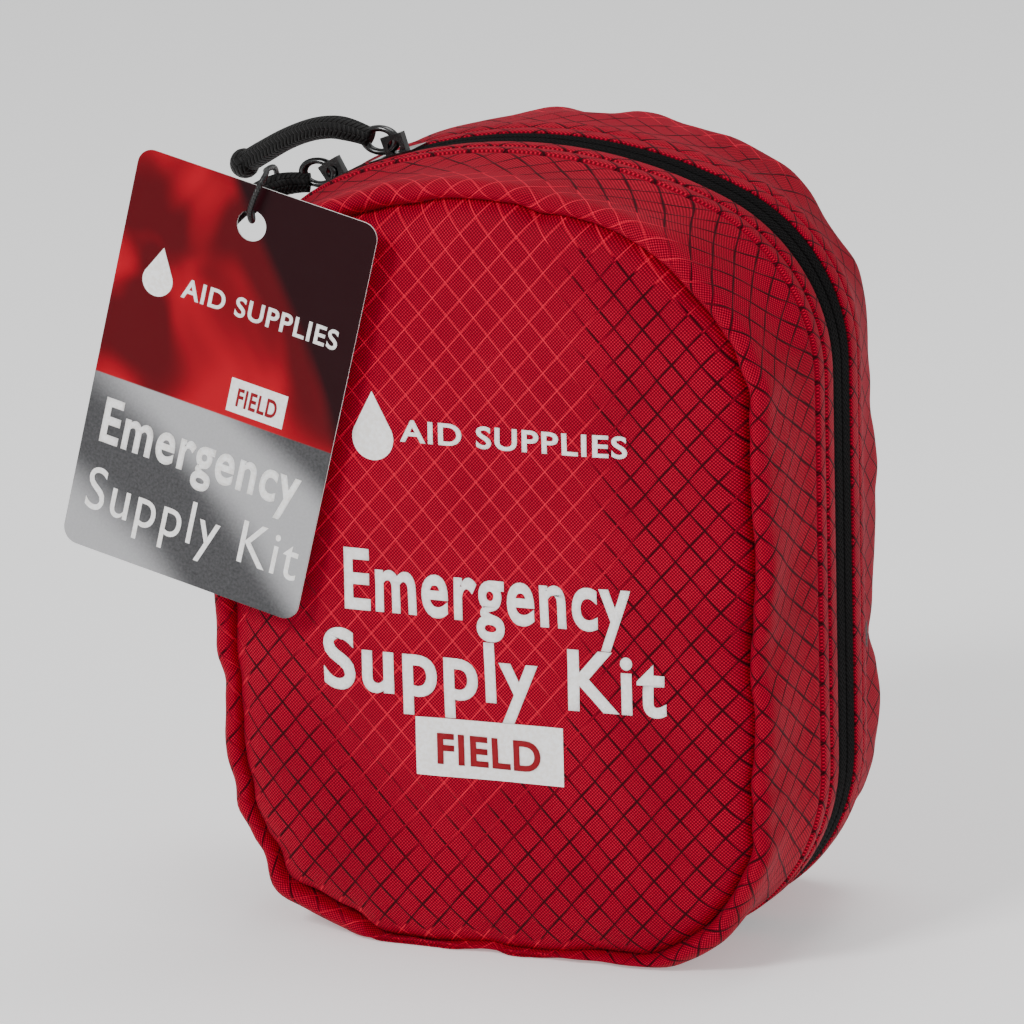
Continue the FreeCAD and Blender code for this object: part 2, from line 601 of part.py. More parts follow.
# What the pocket holds: a pressure dressing, a gauze pack and a glove pouch.
keep(block("pressure_dressing", "dressing_wide", "pack_thick", "dressing_long",
           "dressing_right - dressing_wide", "-pack_back", "pack_low", "pack_corner"))
keep(block("gauze_pack", "gauze_wide", "pack_thick", "gauze_long", "gauze_left", "-pack_back",
           "pack_low", "pack_corner"))
keep(block("glove_pouch", "glove_wide", "glove_thick", "glove_long",
           "glove_shift - glove_wide / 2", "-pack_back + pack_thick + running_gap",
           "pack_low + glove_lift", "glove_thick * 0.37"))


# Shears: two halves cross at a rivet. Each is a blade, a shank and a stadium-shaped finger loop.
def shear_half(label, side, blade_y, rivet_gap):
    """One half; side is 1 when its loop is on the right and -1 when it is on the left."""
    loop_x = f"pivot_across + {side} * loop_apart"
    loop_z = "pivot_high - loop_drop"
    loop_y = "-loop_back"

    def stadium(radius, deep, y):
        ends_pair = [across(radius, deep, loop_x, y, f"{loop_z} + {way} * loop_straight / 2")
                     for way in (-1, 1)]
        middle = box(f"2 * ({radius})", deep, "loop_straight", f"{loop_x} - ({radius})", y,
                     f"{loop_z} - loop_straight / 2")
        return join("stadium", ends_pair + [middle])

    loop = cut("loop", stadium("loop_radius", "loop_thick", loop_y),
               stadium("loop_radius - loop_wall", "3 * loop_thick", f"{loop_y} - loop_thick"))
    near = "-blade_wide + 1" if side == 1 else "-1"
    blade = box("blade_wide", "blade_thick", "blade_long", f"pivot_across + ({near})", blade_y,
                "pivot_high")
    far = "-1" if side == 1 else "-blade_wide + 1"
    shank = box("blade_wide", "blade_thick", "shank_long", f"pivot_across + ({far})", blade_y,
                "pivot_high - shank_long")
    hub = across("blade_wide * 0.72", "blade_thick", "pivot_across", blade_y, "pivot_high")
    hole_radius = f"rivet_radius + {rivet_gap}"
    bore = across(hole_radius, "2 * blade_back", "pivot_across", "-2 * blade_back", "pivot_high")
    keep(cut(label, join("solid", [blade, shank, hub, loop]), bore))


shear_half("shears_fixed_half", 1, "-blade_back", "0")
shear_half("shears_moving_half", -1, "-blade_back + blade_thick + running_gap", "0.3")
rivet = across("rivet_radius", "2 * blade_thick + running_gap", "pivot_across", "-blade_back",
               "pivot_high")
rivet_head = across("rivet_radius + rivet_rim", "rivet_head", "pivot_across",
                    "-blade_back + 2 * blade_thick + 2 * running_gap", "pivot_high")
neck = across("rivet_radius", "running_gap", "pivot_across",
              "-blade_back + 2 * blade_thick + running_gap", "pivot_high")
keep(join("shears_rivet", [rivet, neck, rivet_head]))

doc.recompute()
for thing in doc.Objects:
    if "Invalid" in thing.State or "Error" in thing.State:
        raise RuntimeError(f"{thing.Name} ({thing.Label}) failed: {thing.State}")
for label, thing in nodes.items():
    if thing.Shape.isNull() or not thing.Shape.isValid() or not thing.Shape.Solids:
        raise RuntimeError(f"{label} has no valid solid")
os.makedirs("parts", exist_ok=True)
for label, thing in nodes.items():
    thing.Shape.exportStep(f"parts/{label}.step")
print(f"eyes at {eye_1} and {eye_2}; ring ends {ring_end_1} and {ring_end_2}")
print(f"shoulder arc centre {value('zip_shoulder - zip_half'):.3f} {value('shoulder_high'):.3f}; "
      f"rod axis y {value('rod_axis'):.3f}; strap face y {value('strap_face'):.3f}")
print(f"{len(nodes)} nodes written")
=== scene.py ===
import math
import random

import bmesh
import bpy
from mathutils import Matrix, Vector, noise
from mathutils.bvhtree import BVHTree


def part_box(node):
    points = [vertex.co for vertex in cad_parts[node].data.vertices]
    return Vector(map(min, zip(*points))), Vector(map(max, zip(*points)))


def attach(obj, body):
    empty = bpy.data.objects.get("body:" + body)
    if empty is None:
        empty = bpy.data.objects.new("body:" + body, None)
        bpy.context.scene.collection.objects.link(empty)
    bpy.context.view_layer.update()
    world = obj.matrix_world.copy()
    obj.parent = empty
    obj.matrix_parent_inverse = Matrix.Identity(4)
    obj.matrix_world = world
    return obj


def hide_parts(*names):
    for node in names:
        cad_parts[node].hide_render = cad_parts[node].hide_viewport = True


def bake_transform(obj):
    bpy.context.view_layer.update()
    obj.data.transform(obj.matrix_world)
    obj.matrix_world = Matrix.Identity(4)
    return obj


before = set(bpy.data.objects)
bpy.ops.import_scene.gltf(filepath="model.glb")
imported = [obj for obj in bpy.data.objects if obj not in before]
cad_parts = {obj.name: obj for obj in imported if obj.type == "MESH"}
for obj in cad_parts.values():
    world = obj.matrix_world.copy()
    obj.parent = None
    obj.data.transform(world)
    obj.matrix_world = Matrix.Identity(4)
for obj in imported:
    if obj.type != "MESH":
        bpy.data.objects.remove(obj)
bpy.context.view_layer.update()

# Camera: a long lens, a little to the right of the pouch's front and a little above it. It aims
# near the middle of the pouch. Scene lengths are in metres, and the sizes here are in millimetres.
MM = 0.001
LENS_MM, CAMERA_AWAY, AIM_RIGHT, AIM_HIGH = 274.3, 1884.8, -10.2, 99.8
around, above, roll = (math.radians(a) for a in (23.6, 14.8, -1.5))
back = Vector((math.sin(around) * math.cos(above), -math.cos(around) * math.cos(above),
               math.sin(above)))
flat = Vector((math.cos(around), math.sin(around), 0))
rise = back.cross(flat)
across, upward = (flat * math.cos(roll) + rise * math.sin(roll), rise * math.cos(roll) - flat
                  * math.sin(roll))
camera = bpy.data.objects.new("camera", bpy.data.cameras.new("camera"))
bpy.context.scene.collection.objects.link(camera)
camera.data.lens = LENS_MM
camera.data.clip_end = 20
turned = Matrix((across, upward, back)).transposed().to_4x4()
aim = flat * AIM_RIGHT * MM + Vector((0, 0, AIM_HIGH * MM))
camera.matrix_world = Matrix.Translation(aim + back * CAMERA_AWAY * MM) @ turned
bpy.context.scene.camera = camera

# Pull cords: two short lengths of fat braided polyester cord, each folded through its slider's
# wire ring, pinched there by a stitched wrap and melted into a bulb at its free end.
CORD_MM, DRAWN_RADIUS, BULB_RADIUS, BULB_LONG, BULB_OVERLAP = 5, 2.8, 3.75, 8.0, 4.4
PULLS = {1: [(-45.6, 0, 189.2), (-52.2, 0.2, 191.3), (-60, 1.4, 190.6), (-68.5, 3.5, 187.4),
             (-77, 5.8, 182.6), (-84, 8, 178.4)], 2: [(-62.2, 0, 177), (-67, -1.4, 177.2),
        (-72.6, -5.4, 175.6), (-77.4, -12, 171.4), (-80.6, -20, 165.2), (-82.2, -28, 157.6)],}


def linear(code):
    """An sRGB hex colour as linear numbers with full alpha."""
    parts = [int(code[i:i + 2], 16) / 255 for i in (0, 2, 4)]
    return [p / 12.92 if p <= 0.04045 else ((p + 0.055) / 1.055) ** 2.4 for p in parts] + [1]


def feed(tree, node, **sockets):
    """Set or link a node's sockets, named in words or by number. A hex colour may be given."""
    for name, source in sockets.items():
        socket = node.inputs[int(name[1:]) if name[1:].isdigit() else name.replace("_", " ")]
        if isinstance(source, bpy.types.Node):
            source = source.outputs[2 if source.type == "MIX" else 0]
        if isinstance(source, bpy.types.NodeSocket):
            tree.links.new(source, socket)
        else:
            socket.default_value = linear(source) if isinstance(source, str) else source


def add(tree, kind, settings=None, **sockets):
    """Add a shader node with its own settings, and feed its sockets."""
    node = tree.nodes.new("ShaderNode" + kind)
    for name, setting in (settings or {}).items():
        setattr(node, name, setting)
    feed(tree, node, **sockets)
    return node


def material(name, colour, roughness, **sockets):
    """A new material with its finish on the shader's own sockets: (material, tree, shader)."""
    made = bpy.data.materials.new(name)
    made.use_nodes = True
    tree = made.node_tree
    shader = tree.nodes["Principled BSDF"]
    feed(tree, shader, Base_Color=colour, Roughness=roughness, **sockets)
    made.diffuse_color = linear(colour)
    return made, tree, shader


# Settings that many nodes share: a smooth step, and a mix of colours.
SMOOTH = {"interpolation_type": "SMOOTHSTEP"}
COLOURS = {"data_type": "RGBA"}


def wave(tree, value, period):
    """0 at each whole period of a value and 1 half way between."""
    scaled = add(tree, "Math", {"operation": "MULTIPLY"}, _0=value, _1=1 / period)
    folded = add(tree, "Math", {"operation": "PINGPONG"}, _0=scaled, _1=0.5)
    return add(tree, "Math", {"operation": "MULTIPLY"}, _0=folded, _1=2.0)


def sums(tree, *terms):
    """The sum of several values, each with its weight."""
    total = None
    for value, weight in terms:
        total = add(tree, "Math", {"operation": "MULTIPLY_ADD"}, _0=value, _1=weight, _2=total
                    if total is not None else 0.0)
    return total


def new_object(name, points, faces, uvs=None, finish=None, smooth=True):
    """A mesh object from points in metres. uvs gives each point's place on the flat cloth."""
    mesh = bpy.data.meshes.new(name)
    mesh.from_pydata([tuple(p) for p in points], [], faces)
    if uvs is not None:
        layer = mesh.uv_layers.new(name="UVMap")
        for loop in mesh.loops:
            layer.data[loop.index].uv = uvs[loop.vertex_index]
    mesh.polygons.foreach_set("use_smooth", [smooth] * len(mesh.polygons))
    if finish:
        mesh.materials.append(finish)
    made = bpy.data.objects.new(name, mesh)
    bpy.context.scene.collection.objects.link(made)
    return made


def route_points(points_mm):
    """The line of a smooth spline that has a route's points as its control points, in metres."""
    curve = bpy.data.curves.new("route", "CURVE")
    curve.dimensions = "3D"
    spline = curve.splines.new("NURBS")
    spline.points.add(len(points_mm) - 1)
    for knot, point in zip(spline.points, points_mm):
        knot.co = (*(Vector(point) * MM), 1)
    spline.order_u = 3
    spline.use_endpoint_u = True
    spline.resolution_u = 12
    holder = bpy.data.objects.new("route", curve)
    line = bpy.data.meshes.new_from_object(holder)
    points = [v.co.copy() for v in line.vertices]
    bpy.data.objects.remove(holder)
    return [p for i, p in enumerate(points) if i == 0 or (p - points[i - 1]).length > 1e-6]


def tube(name, line, radius_at, finish, sides=20):
    """A round tube along a line of points, closed at both ends. radius_at takes the way along."""
    travelled = [0.0]
    for a, b in zip(line, line[1:]):
        travelled.append(travelled[-1] + (b - a).length)
    points, uvs, side = [], [], Vector((0, 1, 0))
    for i, here in enumerate(line):
        along = (line[min(i + 1, len(line) - 1)] - line[max(i - 1, 0)]).normalized()
        side = (side - along * side.dot(along)).normalized()
        other = along.cross(side)
        for k in range(sides + 1):
            turn = 2 * math.pi * k / sides
            points.append(here + (side * math.cos(turn) + other * math.sin(turn))
                          * radius_at(travelled[i] / travelled[-1]))
            uvs.append((k / sides, travelled[i]))
    ring = sides + 1
    faces = [(i * ring + k, i * ring + k + 1, (i + 1) * ring + k + 1, (i + 1) * ring + k)
             for i in range(len(line) - 1) for k in range(sides)]
    for i, tip in ((0, line[0]), (len(line) - 1, line[-1])):
        points.append(tip)
        uvs.append((0.5, travelled[i]))
        hub = len(points) - 1
        for k in range(sides):
            pair = (i * ring + k, i * ring + k + 1)
            faces.append((hub, *(pair[::-1] if i == 0 else pair)))
    made = new_object(name, points, faces, uvs, finish)
    weld(made)
    return made


def weld(made, gap_mm=0.01):
    """Merge points that lie on each other and point all faces outwards."""
    work = bmesh.new()
    work.from_mesh(made.data)
    bmesh.ops.remove_doubles(work, verts=work.verts, dist=gap_mm * MM)
    bmesh.ops.recalc_face_normals(work, faces=work.faces)
    work.to_mesh(made.data)
    work.free()


# Braided polyester cord, dyed black: V-shaped plaits about 1.2 mm long, a soft low gloss.
braid, tree, shader = material("braided_black_polyester", "080707", 0.6, Sheen_Weight=0.03,
        Sheen_Roughness=0.5, Specular_IOR_Level=0.25)
place = add(tree, "SeparateXYZ", Vector=add(tree, "UVMap"))
PLAITS_ROUND = 10
vee = wave(tree, place.outputs[0], 2 / PLAITS_ROUND)
slant = add(tree, "Math", {"operation": "MULTIPLY_ADD"}, _0=vee, _1=1.0 * MM, _2=place.outputs[1])
plait = wave(tree, slant, 1.2 * MM)
rib = wave(tree, place.outputs[0], 1 / PLAITS_ROUND)
plait_height = sums(tree, (add(tree, "MapRange", SMOOTH, Value=plait, From_Min=0.05, From_Max=0.6),
        0.8), (add(tree, "MapRange", SMOOTH, Value=rib, From_Min=0.0, From_Max=0.4), 0.4))
feed(tree, shader, Normal=add(tree, "Bump", Height=plait_height, Distance=0.45 * MM))
# The colour is darker in the grooves between the plaits and lighter on them, following the bump:
# painted shade in the grooves.
feed(tree, shader, Base_Color=add(tree, "Mix", COLOURS, _0=add(tree, "MapRange", SMOOTH,
        Value=plait, From_Min=0.1, From_Max=0.7), _6="010101", _7="0b0a09"))


def smooth(value, low, high):
    """0 before low, 1 after high and a smooth step between."""
    t = min(1, max(0, (value - low) / (high - low)))
    return t * t * (3 - 2 * t)


def pull_radius(way):
    """A pull cord's radius: thin where it is pinched at the ring, full for the rest."""
    return DRAWN_RADIUS * MM * (0.86 + 0.14 * smooth(way, 0, 0.2) + 0.03 * math.sin(way * 9))


def bulb_radius(way):
    """A melted end's radius: round at both ends."""
    return BULB_RADIUS * MM * max(0.02, math.sin(math.pi * min(1, way + 0.07))) ** 0.55


for number, route in PULLS.items():
    line = route_points(route)
    cord = tube(f"pull_cord_{number}_braid", line, pull_radius, braid)
    tip, before = line[-1], line[-4]
    heading = (tip - before).normalized()
    bulb_line = [tip + heading * MM * (BULB_LONG * i / 15 - BULB_OVERLAP) for i in range(16)]
    bulb = tube(f"pull_end_{number}_bulb", bulb_line, bulb_radius, braid)
    for piece, node, slot in ((cord, f"pull_cord_{number}", "pull_cord"),
                              (bulb, f"pull_end_{number}", "cord_end")):
        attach(piece, f"pull_{number}")
        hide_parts(node)

# Tag string: a thin waxed black string, looped over the lower pull cord and through the hole in
# the card tag, and tied in a small knot behind the card.
STRING_MM, KNOT_RADIUS, KNOT_THICK = 1.4, 1.15, 0.75
STRING = [(-57.4, -44, 180.6), (-61.2, -32, 178.6), (-65.8, -20, 175.4), (-69.8, -8, 172.8),
          (-71.6, -1, 173), (-71.9, 2.4, 176.8), (-70.6, -1.6, 180.8), (-66.6, -13, 183.2),
          (-60.4, -28, 186.2), (-54.6, -41, 189), (-50.6, -48.4, 190.6), (-50, -53, 189.2),
          (-51.8, -53.8, 185.4), (-53.6, -53, 181.4), (-54.4, -50, 178.6), (-55.6, -46.4, 178.4),
          (-57, -44.4, 180)]
# Waxed string: twisted strands 0.9 mm apart, darker in the grooves, with a wax gloss.
waxed, tree, shader = material("waxed_string", "0c0b0b", 0.42, Specular_IOR_Level=0.5)
place = add(tree, "SeparateXYZ", Vector=add(tree, "UVMap"))
twist = add(tree, "Math", {"operation": "MULTIPLY_ADD"}, _0=place.outputs[0], _1=1.8 * MM,
            _2=place.outputs[1])
feed(tree, shader, Normal=add(tree, "Bump", Height=wave(tree, twist, 0.9 * MM), Distance=0.15
        * MM))
string_line = route_points(STRING)
string = tube("tag_string_twist", string_line, lambda way: STRING_MM / 2 * MM, waxed, sides=10)
bpy.ops.object.select_all(action="DESELECT")
bpy.ops.mesh.primitive_torus_add(location=Vector(STRING[0]) * MM, rotation=(0.7, 0.5, 0.3),
        major_radius=KNOT_RADIUS * MM, minor_radius=KNOT_THICK * MM, major_segments=20,
        minor_segments=10)
knot = bpy.context.object
knot.name = "string_knot_wrap"
bpy.ops.object.transform_apply(location=True, rotation=True, scale=True)
bpy.ops.object.shade_smooth()
knot.data.materials.append(waxed)
for piece, node in ((string, "tag_string"), (knot, "string_knot")):
    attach(piece, "pull_2")
    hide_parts(node)

# Pouch shell: coated ripstop nylon cloth, cut as a panel and a side wall for each half and sewn
# right sides together, so the wall stands up in a puffy rim round the seam and puckers there.
SEAM = {"half": 68.5, "top": 186.5, "arch": 110, "shoulder": 48, "corner": 43}
ZIP = {"half": 75, "top": 192, "arch": 120, "shoulder": 44, "corner": 46}
OUTLINE_STEPS = (9, 22, 30, 20, 12)
STRAIGHT, SEAM_DEPTH = 15, 37
CLOTH_MM, HALF_HIGH, LOWEST_RIM, LOWEST_WALL = 0.8, 95, 1.0, 0.3
HINGE_LOW, HINGE_HIGH = 46, 136


def outline(half, top, arch, shoulder, corner, inset=0.0):
    """Points (x, z) in millimetres round an outline, to the right from the middle of its base."""
    half, top, arch, shoulder, corner = (n - inset for n in (half, top, arch, shoulder, corner))
    lean = math.asin((half - shoulder) / (arch - shoulder))
    high = top - arch + (arch - shoulder) * math.cos(lean)
    swing = math.pi / 2 - lean
    runs = (lambda t: (t * (half - corner), inset), lambda t: (half - corner + corner * math.sin(t
            * math.pi / 2), inset + corner - corner * math.cos(t * math.pi / 2)), lambda t: (half,
            inset + corner + t * (high - inset - corner)), lambda t: (half - shoulder + shoulder
            * math.cos(t * swing), high + shoulder * math.sin(t * swing)),
            lambda t: (arch * math.sin(lean * (1 - t)), top - arch + arch * math.cos(lean
            * (1 - t))))
    right = [Vector(run(k / steps)) for run, steps in zip(runs, OUTLINE_STEPS)
             for k in range(steps)]
    return right + [Vector((0, top))] + [Vector((-p.x, p.y)) for p in right[:0:-1]]


def edges_of(shape):
    """An outline, closed on its first point, with the outward step at each of its points."""
    outer, inner = outline(**shape), outline(**shape, inset=1.0)
    return [(p, p - q) for p, q in zip(outer + outer[:1], inner + inner[:1])]


seam_edge, zip_edge = edges_of(SEAM), edges_of(ZIP)
way_round = [0.0]
for (p, _), (q, _) in zip(seam_edge, seam_edge[1:]):
    way_round.append(way_round[-1] + (q - p).length)


def wall_point(column, depth, inset):
    """A point (x, z) on the side wall at a depth from the zipper, moved inwards by an inset."""
    share = min(1, max(0, (depth - STRAIGHT) / (SEAM_DEPTH - STRAIGHT)))
    (p, step_p), (q, step_q) = zip_edge[column], seam_edge[column]
    return p.lerp(q, share) - step_p.lerp(step_q, share) * inset


def drift(a, b, seed):
    """Smooth noise, about -1 to 1."""
    return noise.noise(Vector((a, b, seed * 7.3))) * 1.6


def loop_drift(column, wavelength, b, seed):
    """Noise along the seam that meets itself where the loop closes."""
    turn = 2 * math.pi * way_round[column] / way_round[-1]
    radius = way_round[-1] / (2 * math.pi * wavelength)
    return noise.noise(Vector((radius * math.cos(turn) + seed * 3.1, radius * math.sin(turn),
            b + seed * 5.7))) * 1.6


def face_out(made, outward):
    """Turn a sheet's faces so that they point outwards: outward gives that way at a point."""
    total = sum(f.normal.dot(outward(f.center)) * f.area for f in made.data.polygons)
    if total < 0:
        made.data.flip_normals()


def grid_faces(rows, columns):
    """The four-sided faces of a grid of points."""
    return [(r * columns + c, r * columns + c + 1, (r + 1) * columns + c + 1, (r + 1) * columns
             + c) for r in range(rows - 1) for c in range(columns - 1)]


def wall_outward(point):
    """Away from the middle of the pouch, as seen from the front."""
    return Vector((point.x, 0, point.z - HALF_HIGH * MM))


def thicken(made, thick_mm, offset=-1):
    """Give a sheet its thickness, and round it by one subdivision."""
    soft = made.modifiers.new("Soft", "SUBSURF")
    soft.levels = soft.render_levels = 1
    wall = made.modifiers.new("Cloth", "SOLIDIFY")
    wall.thickness = thick_mm * MM
    wall.offset = offset


# Ripstop: 420-denier nylon dyed crimson, plain woven with a thicker yarn every 5 mm or so, cut on
# the bias, so that it draws diamonds 7.1 mm wide and 7.9 mm high. Painted highlight makes the
# thicker yarn bright along some lines, and painted shade makes it dark along others. Threads are
# drawn 0.85 mm apart, coarser than real ones, to show.
DIAMOND_WIDE, DIAMOND_HIGH, THREAD = 7.1 * MM, 7.9 * MM, 0.85 * MM
ripstop, tree, shader = material("crimson_ripstop_nylon", "960026", 0.6, Sheen_Weight=0.02,
        Sheen_Roughness=0.4, Specular_IOR_Level=0.07)
flat_place = add(tree, "SeparateXYZ", Vector=add(tree, "UVMap"))
u_way = add(tree, "Math", {"operation": "MULTIPLY"}, _0=flat_place.outputs[0], _1=1 / DIAMOND_WIDE)
v_way = add(tree, "Math", {"operation": "MULTIPLY"}, _0=flat_place.outputs[1], _1=1 / DIAMOND_HIGH)
lines = []
body_place = add(tree, "TexCoord").outputs["Object"]
# Noise that moves the painted sheen on the yarn lines about.
painted_sheen_noise = add(tree, "TexNoise", Vector=body_place, Scale=14.0, Detail=2.0)
in_body = add(tree, "SeparateXYZ", Vector=body_place)
# The painted lit part lies high and a little left on each face, and painted shade darkens the yarn
# towards the zipper.
squeezed = add(tree, "VectorMath", {"operation": "MULTIPLY"}, _0=body_place, _1=(1, 0, 0.45))
from_painted_light = add(tree, "VectorMath", {"operation": "DISTANCE"}, _0=squeezed, _1=(-0.008, 0, 0.056))
from_face = add(tree, "Math", {"operation": "ABSOLUTE"}, _0=in_body.outputs[1])
# On the rim the yarn gets a painted highlight again.
off_wall = add(tree, "MapRange", SMOOTH, Value=from_face, From_Min=0.029, From_Max=0.036)
off_panel = add(tree, "MapRange", SMOOTH, Value=from_face, From_Min=0.0415, From_Max=0.0435,
                To_Min=1.0, To_Max=0.0)
painted_rim_light = add(tree, "Math", {"operation": "MULTIPLY"}, _0=off_wall, _1=off_panel)
# Painted shade on the thick yarn lines: it grows with the distance from the painted lit spot and
# near the zipper, and is less on the rim.
painted_shade = sums(tree, (from_painted_light.outputs["Value"], 1.0), (from_face, -0.9), (painted_sheen_noise, 0.024),
              (painted_rim_light, -0.03))
warp = wave(tree, flat_place.outputs[0], THREAD)
weft = wave(tree, flat_place.outputs[1], THREAD)
crossing = add(tree, "Math", {"operation": "MULTIPLY"}, _0=add(tree, "Math",
        {"operation": "SUBTRACT"}, _0=warp, _1=0.5), _1=add(tree, "Math",
        {"operation": "SUBTRACT"}, _0=weft, _1=0.5))
dots = add(tree, "MapRange", SMOOTH, Value=crossing, From_Min=-0.1, From_Max=0.18)
line_dots = add(tree, "MapRange", SMOOTH, Value=crossing, From_Min=-0.14, From_Max=0.04,
                To_Min=0.35, To_Max=1.0)
for sign, low, high in ((1.0, 0.001, 0.013), (-1.0, 0.006, 0.021)):
    course = add(tree, "Math", {"operation": "MULTIPLY_ADD"}, _0=v_way, _1=sign, _2=u_way)
    near = add(tree, "MapRange", SMOOTH, Value=wave(tree, course, 1.0), From_Min=0.04,
               From_Max=0.12, To_Min=1.0, To_Max=0.0)
    near = add(tree, "Math", {"operation": "MULTIPLY"}, _0=near, _1=line_dots)
    lines.append((near, add(tree, "MapRange", SMOOTH, Value=painted_shade, From_Min=low, From_Max=high)))
line_mask = add(tree, "Math", {"operation": "MAXIMUM"}, _0=lines[0][0], _1=lines[1][0])
# The weave dots are light and the low gaps between them dark, following the bump: the dark gaps
# are painted shade.
cloth_colour = add(tree, "Mix", COLOURS, _0=dots, _6="5e0010", _7="d40034")
# Random darker patches over the cloth, from noise.
dark_patch_noise = add(tree, "TexNoise", Vector=body_place, Scale=38.0, Detail=3.0)
cloth_colour = add(tree, "Mix", COLOURS, _0=add(tree, "MapRange", SMOOTH, Value=dark_patch_noise,
        From_Min=0.35, From_Max=0.75, To_Min=0.0, To_Max=0.3), _6=cloth_colour, _7="640012")
# Each thick yarn line is a lit or a shaded copy of one colour: ea0e3a is painted highlight and
# 2c000a is painted shade.
for near, dark in lines:
    line_colour = add(tree, "Mix", COLOURS, _0=dark, _6="ea0e3a", _7="2c000a")
    cloth_colour = add(tree, "Mix", COLOURS, _0=near, _6=cloth_colour, _7=line_colour)
feed(tree, shader, Base_Color=cloth_colour)
feed(tree, shader, Normal=add(tree, "Bump", Height=sums(tree, (dots, 0.35), (line_mask, 0.9)),
        Distance=0.22 * MM))

# Side wall rows from the zipper to the seam: depth from the zipper and inset, in millimetres. Two
# narrow sewn tucks run beside the zipper as grooves, and the rim rolls over at the seam.
WALL_ROWS = [(7.2, 1.3), (6.1, 0.9), (5.75, 0.3), (6.1, -0.2), (7.6, -0.3), (9.6, -0.3),
             (10.2, -0.1), (10.5, 1.0), (10.9, 0.3), (11.6, -0.1), (13.4, -0.25), (14.8, -0.2),
             (15.3, 0.0), (15.6, 1.1), (16.0, 0.4), (16.8, 0.0), (18.6, -0.1), (21, -0.1),
             (24, -0.5), (27, -1.0), (30, -1.7), (33, -2.4), (35.6, -3.0), (37.8, -3.3),
             (40.0, -3.0), (41.7, -1.7), (42.0, -0.2), (41.0, 1.0), (38.9, 1.8), (35.6, 3.2)]
# Panel rows from the seam inwards. Inside the last one the panel is a plain grid.
PANEL_MIDDLE_HIGH, PANEL_CROWN, FLAT_DEPTH, DEEPEST_PINCH = 92, 1.3, 45.3, 4.6
PANEL_ROWS = [(35.4, -0.2), (37.6, 1.0), (39.6, 2.2), (41.3, 3.8), (42.6, 6.0), (43.6, 9.0),
              (44.4, 13), (45.0, 18.5), (FLAT_DEPTH, 25)]


